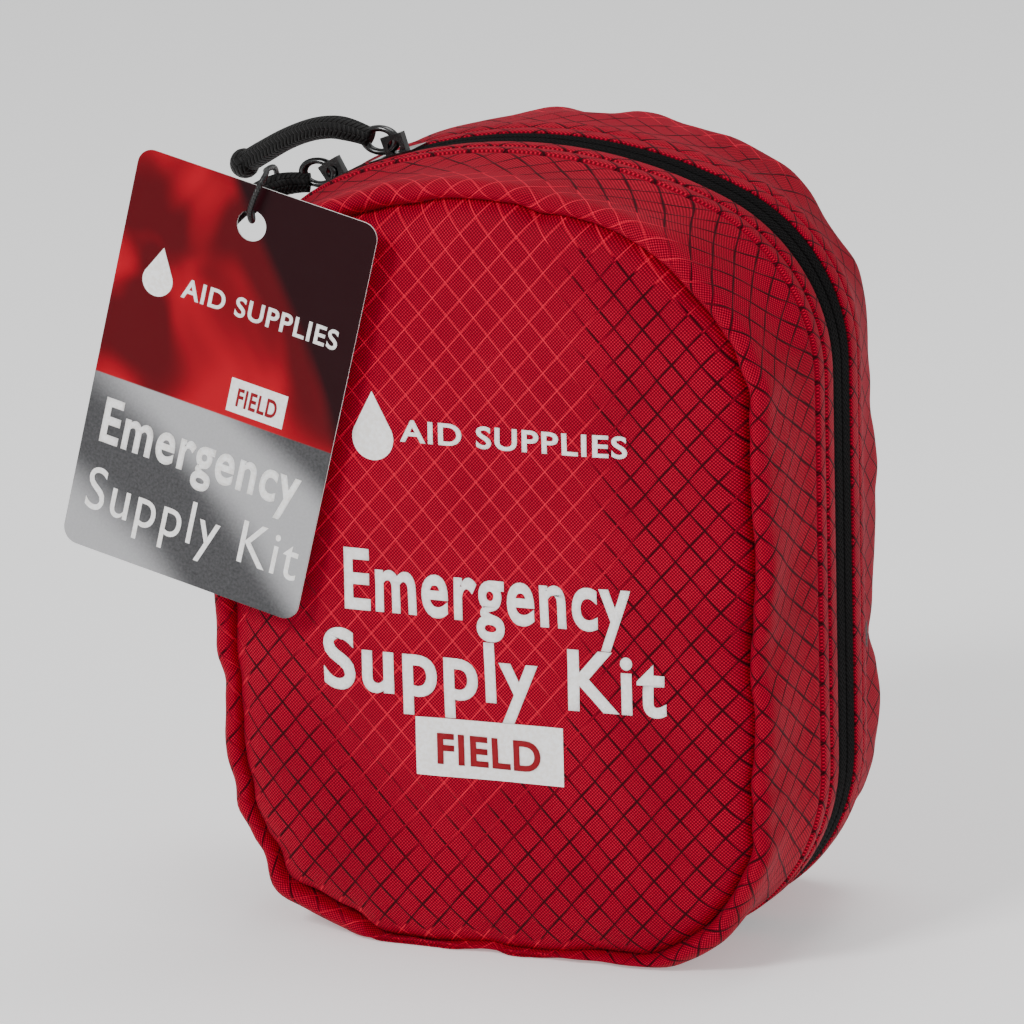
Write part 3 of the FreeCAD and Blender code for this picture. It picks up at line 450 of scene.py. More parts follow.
def pouch_half(half, side, seed):
    """The cloth of one half: its side wall and its panel."""
    draw = random.Random(seed)
    strength = 1.0 if side < 0 else 0.55
    pinches = [(draw.uniform(0, way_round[-1]), draw.uniform(2.4, 6.0),
                strength * draw.uniform(1.0, 4.6)) for _ in range(19)]

    def slump(x, z, depth):
        """The rear half leans a little to the left of the front one, and up."""
        if side < 0:
            return x, z
        lean = smooth(depth, 8, 32)
        return x - lean * (2.6 + 1.6 * smooth(x, 20, 70)), z + lean * 1.6 * smooth(z, 120, 180)

    def pinch(column):
        """How deep the seam is puckered at a place round it, in millimetres."""
        total = 0.0
        for at, wide, deep in pinches:
            gap = abs(way_round[column] - at)
            gap = min(gap, way_round[-1] - gap)
            total += deep * math.exp(-(gap / wide) ** 2)
        return DEEPEST_PINCH * math.tanh(total / DEEPEST_PINCH)

    def seam_wander(column):
        """How far the seam strays from its outline."""
        return strength * (0.9 * loop_drift(column, 18, 3.0, seed) + 0.55 * loop_drift(column, 8,
                5.0, seed))

    columns = len(seam_edge)
    points, uvs, travelled = [], [], 0.0
    for row, (depth, inset) in enumerate(WALL_ROWS):
        if row:
            step = (depth - WALL_ROWS[row - 1][0], inset - WALL_ROWS[row - 1][1])
            travelled += math.hypot(*step) if depth > 30 else step[0]
        rim = smooth(depth, 29, 40)
        free = rim * (1 - smooth(row, len(WALL_ROWS) - 6, len(WALL_ROWS) - 3))
        lowest = LOWEST_RIM if row >= len(WALL_ROWS) - 5 else LOWEST_WALL
        loose = smooth(depth, 15, 26)
        for column in range(columns):
            puff = 1 + 0.45 * loop_drift(column, 16, 0.0, seed)
            shift = inset - free * 1.6 * (puff - 1) + rim * (pinch(column) * 0.6
                    + seam_wander(column))
            shift -= loose * (0.7 * loop_drift(column, 30, depth / 22, seed) + 0.35
                              * loop_drift(column, 7, depth / 18, seed + 1))
            y = depth - rim * 0.4 * pinch(column) + free * (1.5 * (puff - 1) + 0.6
                    * loop_drift(column, 6, depth / 9, seed + 2))
            x, z = wall_point(column, depth, shift)
            x, z = slump(x, z, depth)
            points.append(Vector((x, side * y, max(z, lowest))) * MM)
            uvs.append((way_round[column] * MM, travelled * MM))
    wall = new_object(f"{half}_gusset_cloth", points, grid_faces(len(WALL_ROWS), columns), uvs,
                      ripstop)
    points = []
    for depth, inset in PANEL_ROWS:
        for column in range(columns):
            near = math.exp(-(inset - 1.5) / 7)
            gathered = near * (0.5 * loop_drift(column, 5, inset / 9, seed + 3) + 0.5
                               * loop_drift(column, 11, inset / 16, seed + 4))
            moved = inset + math.exp(-(inset - 1.5) / 6) * (pinch(column) * 0.6
                    + seam_wander(column))
            x, z = wall_point(column, SEAM_DEPTH, moved)
            y = depth - near * pinch(column) * 0.36 + gathered
            x, z = slump(x, z, depth)
            points.append(Vector((x, side * y, max(z, LOWEST_RIM))) * MM)
    panel = new_object(f"{half}_panel_cloth", points, grid_faces(len(PANEL_ROWS), columns),
                       finish=ripstop)
    weld(panel)
    middle_loop = (len(PANEL_ROWS) - 1) * (columns - 1)
    for edge in panel.data.edges:
        edge.select = min(edge.vertices) >= middle_loop
    for group in (panel.data.vertices, panel.data.polygons):
        for part in group:
            part.select = False
    for edge in panel.data.edges:
        if edge.select:
            for index in edge.vertices:
                panel.data.vertices[index].select = True
    bpy.ops.object.select_all(action="DESELECT")
    bpy.context.view_layer.objects.active = panel
    panel.select_set(True)
    bpy.ops.object.mode_set(mode="EDIT")
    bpy.ops.mesh.select_mode(type="EDGE")
    bpy.ops.mesh.fill_grid(span=42)
    bpy.ops.object.mode_set(mode="OBJECT")
    panel.data.polygons.foreach_set("use_smooth", [True] * len(panel.data.polygons))
    for vertex in panel.data.vertices:
        x, y, z = vertex.co / MM
        far = min(1, (x / 45) ** 2 + ((z - PANEL_MIDDLE_HIGH) / 70) ** 2)
        calm = smooth(abs(y), 42, 45)
        if vertex.index >= middle_loop + columns - 1:
            y, calm = side * FLAT_DEPTH, 1
        y += side * (PANEL_CROWN * (1 - far) + calm * (0.55 * drift(x / 34, z / 34, seed) + 0.35
                * drift((x + z) / 16, (x - z) / 60, seed + 1)))
        vertex.co.y = y * MM
    layer = panel.data.uv_layers.new(name="UVMap")
    for loop in panel.data.loops:
        x, y, z = panel.data.vertices[loop.vertex_index].co
        layer.data[loop.index].uv = (x * -side, z)
    weld(panel)
    for piece, outward in ((wall, wall_outward), (panel, lambda p: Vector((0, side, 0)))):
        weld(piece)
        face_out(piece, outward)
        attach(piece, f"{half}_half")
        thicken(piece, CLOTH_MM)
    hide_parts(f"{half}_gusset")
    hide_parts(f"{half}_panel", f"{half}_padding")
    return panel


front_panel = pouch_half("front", -1, 4)
pouch_half("rear", 1, 9)

# Hinge strip: the same ripstop, sewn inside both halves on the left where the zipper stops. The
# real strip folds as the pouch opens; here it is one fixed sheet with a soft crease down its
# middle.
points, uvs = [], []
HINGE_DEPTHS = [9.0 - 0.75 * k for k in range(25)]
for y in HINGE_DEPTHS:
    for k in range(31):
        z = HINGE_LOW - 4 + (HINGE_HIGH - HINGE_LOW + 8) * k / 30
        fold = 0.9 * math.exp(-(y / 1.6) ** 2) + 0.15 * drift(z / 12, y / 6, 3)
        inset = 1.3 + 0.5 * smooth(abs(y), 3, 6) - 0.9 * (1 - smooth(abs(y), 2.5,
                4.6)) + fold * 0.3
        points.append(Vector((-75 + inset, y, z)) * MM)
        uvs.append((z * MM, y * MM))
strip = new_object("hinge_strip_cloth", points, grid_faces(len(HINGE_DEPTHS), 31), uvs, ripstop)
face_out(strip, lambda p: Vector((-1, 0, 0)))
thicken(strip, 0.7)
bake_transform(strip)
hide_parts("hinge_strip")

# Zipper: a nylon coil zipper set in with its coil to the inside, so that outside only the two
# knitted black tapes show, edge to edge. The knit is matt and nearly without shine.
knit, tree, shader = material("black_knitted_polyester_tape", "040404", 0.85, Sheen_Weight=0.01,
        Sheen_Roughness=0.5, Specular_IOR_Level=0.06)
place = add(tree, "SeparateXYZ", Vector=add(tree, "UVMap"))
# Herringbone ribs 1.2 mm apart that turn every 2.4 mm across the tape.
zigzag = add(tree, "Math", {"operation": "MULTIPLY_ADD"}, _0=wave(tree, place.outputs[1],
        2.4 * MM), _1=1.0 * MM, _2=place.outputs[0])
ribs = wave(tree, zigzag, 1.2 * MM)
fuzz = add(tree, "TexNoise", Vector=place.inputs[0].links[0].from_socket, Scale=1400.0, Detail=2.0)
feed(tree, shader, Normal=add(tree, "Bump", Height=sums(tree, (ribs, 0.8), (fuzz, 0.5)),
        Distance=0.35 * MM))
# The colour follows the bump: darker in the grooves between the ribs, which is painted shade, with
# random tone from the fuzz.
feed(tree, shader, Base_Color=add(tree, "Mix", COLOURS, _0=sums(tree, (ribs, 0.5), (fuzz, 0.5)),
        _6="000000", _7="0a0809"))
TAPE_ROWS = [(0.03, 1.2), (0.03, 0.4), (0.2, 0.14), (0.9, 0.08), (2.6, 0.05), (4.9, 0.1),
             (5.9, 0.5), (6.8, 1.6), (8, 2.1), (11, 2.1)]
# Nylon coil: one spiral of filament on each side, a turn every 1.5 mm, drawn smooth and glossy.
nylon, tree, shader = material("black_nylon_coil", "121213", 0.33, Specular_IOR_Level=0.5)
fine = add(tree, "TexNoise", Vector=add(tree, "TexCoord").outputs["Object"], Scale=900.0)
feed(tree, shader, Normal=add(tree, "Bump", Height=fine, Distance=0.05 * MM))
COIL_PITCH = 1.5
for half, side in (("front", -1), ("rear", 1)):
    columns = [k for k in range(len(zip_edge)) if zip_edge[k][0].x > 0 or not HINGE_LOW
               - 1 < zip_edge[k][0].y < HINGE_HIGH + 1]
    gap = next(i for i in range(1, len(columns)) if columns[i] != columns[i - 1] + 1)
    columns = columns[gap:] + columns[1:gap]
    along, travelled = [], 0.0
    for i, k in enumerate(columns):
        if i:
            travelled += (zip_edge[k][0] - zip_edge[columns[i - 1]][0]).length
        along.append(travelled)
    points, uvs = [], []
    for depth, inset in TAPE_ROWS:
        for i, k in enumerate(columns):
            x, z = zip_edge[k][0] - zip_edge[k][1] * inset
            points.append(Vector((x, side * depth, z)) * MM)
            uvs.append((along[i] * MM, depth * MM))
    tape = new_object(f"{half}_zipper_tape_knit", points, grid_faces(len(TAPE_ROWS), len(columns)),
                      uvs, knit)
    face_out(tape, wall_outward)
    thicken(tape, 0.55)
    points, faces = [], []
    turn_at, i = COIL_PITCH, 0
    while turn_at < along[-1] - COIL_PITCH:
        while along[i + 1] < turn_at:
            i += 1
        share = (turn_at - along[i]) / (along[i + 1] - along[i])
        (p, out_p), (q, out_q) = zip_edge[columns[i]], zip_edge[columns[i + 1]]
        out_way = out_p.lerp(out_q, share)
        at, step = p.lerp(q, share), Vector((-out_way.y, out_way.x)) * side
        base = len(points)
        loop = [(1.0 + 1.5 * math.cos(a), 2.75 + 0.62 * math.sin(a)) for a in (2 * math.pi * n / 8
                for n in range(8))]
        for n, (depth, inset) in enumerate(loop):
            for slide, swell in ((-0.42, 0.75), (0, 1.0), (0.42, 0.75)):
                lift = 2.75 + (inset - 2.75) * swell
                x, z = at - out_way * lift + step * (slide + 0.12 * (depth - 1))
                points.append(Vector((x, side * (1.25 + (depth - 1) * swell), z)) * MM)
            m = (n + 1) % 8
            for a in (0, 1):
                faces.append((base + n * 3 + a, base + n * 3 + a + 1, base + m * 3 + a + 1,
                              base + m * 3 + a))
        faces.append(tuple(base + n * 3 for n in range(8)))
        faces.append(tuple(base + n * 3 + 2 for n in reversed(range(8))))
        turn_at += COIL_PITCH
    coil = new_object(f"{half}_zipper_coil_turns", points, faces, finish=nylon)
    weld(coil)
    for piece, kind in ((tape, "tape"), (coil, "coil")):
        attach(piece, f"{half}_half")
        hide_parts(f"{half}_zipper_{kind}")

# Sliders and pull rings: die-cast zinc sliders and rings of bent wire through their eyes. All are
# enamelled black, which gives a wet gloss that is a little uneven over the casting.
coat, tree, shader = material("black_enamelled_zinc", "0b0b0c", 0.2, Coat_Weight=0.5,
        Coat_Roughness=0.08, Specular_IOR_Level=0.55)
body_place = add(tree, "TexCoord").outputs["Object"]
ripple = add(tree, "TexNoise", Vector=body_place, Scale=260.0, Detail=2.0)
feed(tree, shader, Normal=add(tree, "Bump", Height=ripple, Distance=0.12 * MM))
feed(tree, shader, Roughness=add(tree, "MapRange", SMOOTH, Value=ripple, From_Min=0.3,
        From_Max=0.7, To_Min=0.16, To_Max=0.34).outputs[0])


def rounded_copy(node, name, edge_mm, finish, body, segments=2):
    """A copy of a CAD node with its edges rounded, standing for the node."""
    made = bpy.data.objects.new(name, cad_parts[node].data.copy())
    bpy.context.scene.collection.objects.link(made)
    made.data.materials.clear()
    made.data.materials.append(finish)
    work = bmesh.new()
    work.from_mesh(made.data)
    bmesh.ops.remove_doubles(work, verts=work.verts, dist=0.002 * MM)
    bmesh.ops.dissolve_limit(work, angle_limit=math.radians(1.5), verts=work.verts,
                             edges=work.edges)
    for face in work.faces:
        face.material_index = 0
    work.to_mesh(made.data)
    work.free()
    edge = made.modifiers.new("Rounded", "BEVEL")
    edge.width = edge_mm * MM
    edge.segments = segments
    edge.limit_method = "ANGLE"
    edge.angle_limit = math.radians(35)
    bpy.ops.object.select_all(action="DESELECT")
    bpy.context.view_layer.objects.active = made
    made.select_set(True)
    bpy.ops.object.shade_smooth_by_angle(angle=math.radians(40))
    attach(made, body)
    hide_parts(node)
    return made


# The middle of each ring, in millimetres. A ring is a little flattened.
RINGS = {1: (-43.15, 188.72), 2: (-59.74, 179.69)}
RING_RADIUS, WIRE_RADIUS, RING_FLATTENED = 4.15, 1.15, 0.7
for number, (x, z) in RINGS.items():
    rounded_copy(f"slider_{number}_body", f"slider_{number}_cast", 0.75, coat, f"slider_{number}",
                 segments=4)
    bpy.ops.object.select_all(action="DESELECT")
    bpy.ops.mesh.primitive_torus_add(location=(x * MM, 0, z * MM), major_radius=RING_RADIUS * MM,
            rotation=(math.pi / 2, 0, 0), minor_radius=WIRE_RADIUS * MM, major_segments=48,
            minor_segments=14)
    ring = bpy.context.object
    ring.name = f"pull_ring_{number}_wire"
    bpy.ops.object.transform_apply(location=True, rotation=True, scale=True)
    bpy.ops.object.shade_smooth()
    for vertex in ring.data.vertices:
        vertex.co.z = z * MM + (vertex.co.z - z * MM) * RING_FLATTENED
    ring.data.materials.append(coat)
    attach(ring, f"pull_{number}")
    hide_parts(f"pull_ring_{number}")

# Hang tag: a laminated card, 63.5 x 101.6 mm, printed red above and grey below, with one punched
# hole. It is plain on the back. Its words and drop sign are generic.
TAG_TURN = math.radians(14.5)
TAG_FACE, PICTURE_FOOT = -50.6, -47.6
hole_x, hole_z = -54.2, 177.8
tag_right = Vector((math.cos(TAG_TURN), 0, -math.sin(TAG_TURN)))
tag_up = Vector((math.sin(TAG_TURN), 0, math.cos(TAG_TURN)))
# Laminated card: coated board under a thin clear film, smooth with a satin gloss and fine scuffs.
card, tree, shader = material("laminated_card", "a80016", 0.45, Coat_Weight=0.05,
        Coat_Roughness=0.3, Specular_IOR_Level=0.1)
body_place = add(tree, "TexCoord").outputs["Object"]
# The card's own frame: X to its right and Z up it, from the hole, in metres.
centred = add(tree, "VectorMath", {"operation": "SUBTRACT"}, _0=body_place, _1=(hole_x * MM, 0,
        hole_z * MM))
on_card = add(tree, "Mapping", {"vector_type": "POINT"}, Vector=centred, Rotation=(0, -TAG_TURN,
        0))
card_place = add(tree, "SeparateXYZ", Vector=on_card)
card_x, card_z = card_place.outputs[0], card_place.outputs[2]
clouds = add(tree, "TexNoise", Vector=on_card, Scale=26.0, Detail=1.5, Distortion=1.2)
soft_red = add(tree, "Mix", COLOURS, _0=add(tree, "MapRange", SMOOTH, Value=clouds, From_Min=0.38,
        From_Max=0.62), _6="56000a", _7="b0001c")
# A dark field in the upper right corner, with a curved edge.
bend = add(tree, "Math", {"operation": "SINE"}, _0=add(tree, "Math", {"operation": "MULTIPLY"},
        _0=card_z, _1=48.0))
edge_at = sums(tree, (card_x, 1.0), (card_z, 0.62), (bend, 0.004))
dark = add(tree, "MapRange", SMOOTH, Value=edge_at, From_Min=-0.0015, From_Max=0.0035)
fade = add(tree, "MapRange", SMOOTH, Value=card_z, From_Min=-0.062, From_Max=-0.048)
soft_red = add(tree, "Mix", COLOURS, _0=add(tree, "Math", {"operation": "MULTIPLY"}, _0=dark,
        _1=fade), _6=soft_red, _7="220006")
# Grey folds below: broad soft bands with a fine printed grain.
folds = add(tree, "TexWave", {"wave_type": "BANDS", "bands_direction": "DIAGONAL"}, Vector=on_card,
            Scale=9.0, Distortion=5.0, Detail=2.0)
print_grain = add(tree, "TexNoise", Vector=on_card, Scale=1500.0)
greys = add(tree, "Mix", COLOURS, _0=sums(tree, (add(tree, "MapRange", SMOOTH, Value=folds,
        From_Min=0.1, From_Max=0.9), 0.8), (print_grain, 0.2)), _6="2c2c2e", _7="b2b2b4")
split = add(tree, "MapRange", SMOOTH, Value=card_z, From_Min=(PICTURE_FOOT - 0.2) * MM,
            From_Max=(PICTURE_FOOT + 0.2) * MM)
printed = add(tree, "Mix", COLOURS, _0=split, _6=greys, _7=soft_red)
facing = add(tree, "SeparateXYZ", Vector=add(tree, "TexCoord").outputs["Normal"])
front = add(tree, "MapRange", SMOOTH, Value=facing.outputs[1], From_Min=-0.6, From_Max=-0.4,
            To_Min=1.0, To_Max=0.0)
feed(tree, shader, Base_Color=add(tree, "Mix", COLOURS, _0=front, _6="e9e9e7", _7=printed))
scuffs = add(tree, "TexNoise", Vector=body_place, Scale=120.0, Detail=3.0)
feed(tree, shader, Roughness=add(tree, "MapRange", SMOOTH, Value=scuffs, From_Min=0.3,
        From_Max=0.8, To_Min=0.34, To_Max=0.5).outputs[0])
feed(tree, shader, Normal=add(tree, "Bump", Height=scuffs, Distance=0.03 * MM))
rounded_copy("hang_tag", "hang_tag_card", 0.12, card, "tag", segments=1)

# Prints: the words and signs on the pouch and the card, which are generic ones. Each is a thin
# sheet of ink laid on the surface under it. White plastisol is matt and shows the weave faintly.
INK_MM, WORD_INK_MM, CARD_INK_MM, CAP_SHARE = 0.2, 0.45, 0.12, 0.73
ink, tree, shader = material("white_screen_ink", "f4f1ec", 0.5, Specular_IOR_Level=0.3)
body_place = add(tree, "TexCoord").outputs["Object"]
weave_through = add(tree, "TexNoise", Vector=body_place, Scale=1100.0, Detail=1.0)
feed(tree, shader, Normal=add(tree, "Bump", Height=weave_through, Distance=0.12 * MM))
feed(tree, shader, Base_Color=add(tree, "Mix", COLOURS, _0=add(tree, "MapRange", SMOOTH,
        Value=weave_through, From_Min=0.3, From_Max=0.7), _6="f4f1ed", _7="ffffff"))
# Crimson ink, for a word printed over a white box: thinner and flatter in gloss.
word_ink, tree, shader = material("crimson_ink", "8c0014", 0.55, Specular_IOR_Level=0.25)
weave_through = add(tree, "TexNoise", Vector=add(tree, "TexCoord").outputs["Object"], Scale=1100.0)
feed(tree, shader, Normal=add(tree, "Bump", Height=weave_through, Distance=0.1 * MM))


def lettering(words, height, long, weight):
    """Flat letters, long and height in millimetres, from the lower left corner of the first."""
    bpy.ops.object.select_all(action="DESELECT")
    bpy.ops.object.text_add()
    made = bpy.context.object
    made.data.body = words
    made.data.offset = weight
    made.data.space_character = 1.1
    made.data.resolution_u = 6
    bpy.ops.object.convert(target="MESH")
    made = bpy.context.object
    xs = [v.co.x for v in made.data.vertices]
    first, last = min(xs), max(xs)
    for vertex in made.data.vertices:
        vertex.co.x = (vertex.co.x - first) / (last - first) * long * MM
        vertex.co.y = vertex.co.y / CAP_SHARE * height * MM
    return made


def patch(corners):
    """A flat polygon of corners in millimetres."""
    return new_object("patch", [(x * MM, y * MM, 0) for x, y in corners],
                      [tuple(range(len(corners)))], smooth=False)


def laid(made, name, finish, origin, right, up, surface, body, slot, stand_mm=INK_MM):
    """Lay a flat piece on a surface in front of it, from an origin along two directions."""
    made.name = name
    made.data.materials.clear()
    made.data.materials.append(finish)
    work = bmesh.new()
    work.from_mesh(made.data)
    bmesh.ops.remove_doubles(work, verts=work.verts, dist=0.01 * MM)
    bmesh.ops.triangulate(work, faces=work.faces)
    for _ in range(4):
        long = [e for e in work.edges if e.calc_length() > 3.5 * MM]
        if not long:
            break
        bmesh.ops.subdivide_edges(work, edges=long, cuts=1)
        bmesh.ops.triangulate(work, faces=work.faces)
    for vertex in work.verts:
        at = origin + right * vertex.co.x + up * vertex.co.y
        if surface:
            hit = surface.ray_cast(Vector((at.x, -0.2, at.z)), Vector((0, 1, 0)))[0]
            at.y = (hit.y if hit else at.y) - 0.02 * MM
        vertex.co = at
    for face in work.faces:
        face.normal_update()
        if face.normal.y > 0:
            face.normal_flip()
    work.to_mesh(made.data)
    work.free()
    film = made.modifiers.new("Film", "SOLIDIFY")
    film.thickness = stand_mm * MM
    film.offset = 1
    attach(made, body)
    return made


def drop_shape(middle, size):
    """The outline of a drop of liquid, point up."""
    x, y = middle
    shape = [(x, y + 0.62 * size)]
    for k in range(25):
        turn = math.radians(35 - 250 * k / 24)
        shape.append((x + 0.36 * size * math.cos(turn), y - 0.14 * size + 0.36 * size
                      * math.sin(turn)))
    return shape


bpy.context.view_layer.update()
panel_surface = BVHTree.FromObject(front_panel, bpy.context.evaluated_depsgraph_get())
on_panel = dict(right=Vector((1, 0, 0)), up=Vector((0, 0, 1)), surface=panel_surface,
                body="front_half", slot="pouch_fabric")
for name, words, x, z, long, height, weight in (("panel_words_upper", "Emergency", -35.2, 85, 73.6,
        15.2, 0.024), ("panel_words_lower", "Supply Kit", -41.2, 65, 88.2, 15.0, 0.024),
        ("panel_words_small", "AID SUPPLIES", -19.4, 127, 57.8, 5.4, 0.02)):
    laid(lettering(words, height, long, weight), name, ink, Vector((x, -45, z)) * MM, **on_panel)
laid(patch([(-17.6, 45), (20.4, 45.2), (20.6, 59.8), (-17.4, 59.4)]), "panel_box", ink,
     Vector((0, -0.045, 0)), **on_panel)
laid(lettering("FIELD", 7.6, 26.6, 0.024), "panel_box_word", word_ink, Vector((-12, -45, 48.4))
     * MM, stand_mm=WORD_INK_MM, **on_panel)
laid(patch(drop_shape((-26.6, 129.2), 15)), "panel_drop", ink, Vector((0, -0.045, 0)), **on_panel)

on_tag = dict(right=tag_right, up=tag_up, surface=None, body="tag", slot="tag_card",
              stand_mm=CARD_INK_MM)
tag_origin = Vector((hole_x, TAG_FACE + 0.02, hole_z)) * MM


def tag_at(x, z):
    """A place on the card's face, in millimetres from its hole."""
    return tag_origin + (tag_right * x + tag_up * z) * MM


for name, words, x, z, long, height, weight in (("tag_words_small", "AID SUPPLIES", -14.0, -22.6,
        41.5, 5.0, 0.02), ("tag_words_upper", "Emergency", -27.2, -64.0, 53.2, 11.4, 0.024),
        ("tag_words_lower", "Supply Kit", -27.6, -81.6, 57.0, 11.4, 0.0)):
    laid(lettering(words, height, long, weight), name, ink, tag_at(x, z), **on_tag)
laid(patch([(3.2, -46), (18.2, -46), (18.2, -37.6), (3.2, -37.6)]), "tag_box", ink, tag_at(0, 0),
     **on_tag)
laid(lettering("FIELD", 4.6, 10.6, 0.022), "tag_box_word", word_ink, tag_at(5.4, -44.1)
     + Vector((0, -0.1 * MM, 0)), **on_tag)
laid(patch(drop_shape((-20.6, -19.2), 11)), "tag_drop", ink, tag_at(0, 0), **on_tag)

# Linings: one sheet of grey nylon in each half, behind the foam, lying slack between its seams.
# The cloth is thin and smooth, with a soft shine on its threads.
LINING_DEPTH, lining_area = 35.75, 0.0228
nylon_cloth, tree, shader = material("grey_nylon_lining", "3a3c40", 0.55, Sheen_Weight=0.1,
        Specular_IOR_Level=0.3)
body_place = add(tree, "TexCoord").outputs["Object"]
threads = add(tree, "SeparateXYZ", Vector=body_place)
# Plain weave, drawn at 0.9 mm so that it shows.
weave = add(tree, "Math", {"operation": "MULTIPLY"}, _0=wave(tree, threads.outputs[0], 0.9 * MM),
            _1=wave(tree, threads.outputs[2], 0.9 * MM))
feed(tree, shader, Normal=add(tree, "Bump", Height=weave, Distance=0.12 * MM))
# The colour is lighter where the threads cross and darker between them, following the bump:
# painted shade in the weave.
feed(tree, shader, Base_Color=add(tree, "Mix", COLOURS, _0=weave, _6="2a2c2f", _7="4b4e53"))


def cut_sheet(name, shape, y, finish, rumple, seed, thick_mm, longest=5.0):
    """A flat sheet cut to an outline at a depth, lightly rumpled, facing -Y."""
    made = patch([tuple(p) for p in shape])
    made.name = name
    made.data.materials.append(finish)
    work = bmesh.new()
    work.from_mesh(made.data)
    bmesh.ops.triangulate(work, faces=work.faces)
    for _ in range(6):
        long = [e for e in work.edges if e.calc_length() > longest * MM]
        if not long:
            break
        bmesh.ops.subdivide_edges(work, edges=long, cuts=1)
        bmesh.ops.triangulate(work, faces=work.faces)
    edge = {v for e in work.edges if e.is_boundary for v in e.verts}
    for vertex in work.verts:
        x, z = vertex.co.x / MM, vertex.co.y / MM
        lift = 0 if vertex in edge else rumple * (drift(x / 26, z / 26, seed) + 0.5 * drift(x / 9,
                z / 14, seed + 1))
        vertex.co = Vector((x, y + lift, z)) * MM
    for face in work.faces:
        face.smooth = True
    work.to_mesh(made.data)
    work.free()
    face_out(made, lambda p: Vector((0, -1, 0)))
    wall = made.modifiers.new("Cloth", "SOLIDIFY")
    wall.thickness = thick_mm * MM
    wall.offset = 0
    return made


for half, side, seed in (("front", -1, 21), ("rear", 1, 27)):
    lining = cut_sheet(f"{half}_lining_cloth", outline(**SEAM, inset=1.8), side * LINING_DEPTH,
                       nylon_cloth, 0.16, seed, 0.55)
    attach(lining, f"{half}_half")
    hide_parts(f"{half}_lining")

# Bindings: black grosgrain tape folded over the raw edges inside each seam and stitched along it.
# Its ribs run across it, drawn 1.1 mm apart, and it is matt.
grosgrain, tree, shader = material("black_grosgrain_tape", "0b0b0c", 0.7, Sheen_Weight=0.1,
        Specular_IOR_Level=0.25)
place = add(tree, "SeparateXYZ", Vector=add(tree, "UVMap"))
cords = wave(tree, place.outputs[0], 1.1 * MM)
feed(tree, shader, Normal=add(tree, "Bump", Height=cords, Distance=0.2 * MM))
# The colour is darker in the grooves between the ribs, following the bump: painted shade.
feed(tree, shader, Base_Color=add(tree, "Mix", COLOURS, _0=cords, _6="050505", _7="191919"))
BINDING_SECTION = [(1.45, 35.0), (1.45, 33.4), (1.7, 32.6), (2.4, 32.4), (3.3, 32.6), (4.1, 33.0),
                   (4.3, 34.0), (4.1, 34.9), (3.0, 35.2), (1.9, 35.2)]
for half, side in (("front", -1), ("rear", 1)):
    points, uvs = [], []
    for inset, depth in BINDING_SECTION + BINDING_SECTION[:1]:
        for column, (p, step) in enumerate(seam_edge):
            x, z = p - step * inset
            points.append(Vector((x, side * (depth + 0.12 * math.sin(column * 1.9)), z)) * MM)
            uvs.append((way_round[column] * MM, inset * MM))
    trim = new_object(f"{half}_binding_tape", points, grid_faces(len(BINDING_SECTION) + 1,
            len(seam_edge)), uvs, grosgrain)
    weld(trim)
    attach(trim, f"{half}_half")
    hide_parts(f"{half}_binding")


# Webbing: flat woven nylon, black, with ribs across it 1.4 mm apart and a dull sheen.
webbing, tree, shader = material("black_nylon_webbing", "0d0d0e", 0.65, Sheen_Weight=0.1,
        Specular_IOR_Level=0.3)
place = add(tree, "SeparateXYZ", Vector=add(tree, "UVMap"))
ribs_along = wave(tree, place.outputs[0], 1.4 * MM)
ribs_across = wave(tree, place.outputs[1], 1.8 * MM)
rib_height = sums(tree, (ribs_along, 0.7), (ribs_across, 0.5))
feed(tree, shader, Normal=add(tree, "Bump", Height=rib_height, Distance=0.3 * MM))
# The colour is darker in the grooves between the ribs, following the bump: painted shade.
feed(tree, shader, Base_Color=add(tree, "Mix", COLOURS, _0=add(tree, "MapRange", SMOOTH,
        Value=rib_height, From_Min=0.2, From_Max=1.0), _6="050505", _7="1f1f21"))
# Elastic: knitted over rubber, ribbed along its length every 1.2 mm.
rubber, tree, shader = material("black_ribbed_elastic", "101011", 0.7, Specular_IOR_Level=0.25)
place = add(tree, "SeparateXYZ", Vector=add(tree, "UVMap"))
rubber_ribs = sums(tree, (wave(tree, place.outputs[1], 1.2 * MM), 0.8),
                   (wave(tree, place.outputs[0], 0.9 * MM), 0.3))
feed(tree, shader, Normal=add(tree, "Bump", Height=rubber_ribs, Distance=0.25 * MM))
# The colour is darker in the grooves between the ribs, following the bump: painted shade.
feed(tree, shader, Base_Color=add(tree, "Mix", COLOURS, _0=rubber_ribs, _6="060606", _7="232325"))


def strap(name, route, across_way, wide, thick, finish, body, slot, *nodes):
    """A flat strap along a smooth route, wide in one direction. Lengths are in millimetres."""
    line = route_points(route)
    sides = 8
    points, uvs, travelled = [], [], 0.0
    for i, here in enumerate(line):
        travelled += (here - line[i - 1]).length if i else 0
        for k in range(sides + 1):
            points.append(here + Vector(across_way) * (k / sides - 0.5) * wide * MM)
            uvs.append((travelled, (k / sides - 0.5) * wide * MM))
    made = new_object(name, points, grid_faces(len(line), sides + 1), uvs, finish)
    wall = made.modifiers.new("Strap", "SOLIDIFY")
    wall.thickness = thick * MM
    wall.offset = 0
    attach(made, body)
    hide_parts(*nodes)
    return made


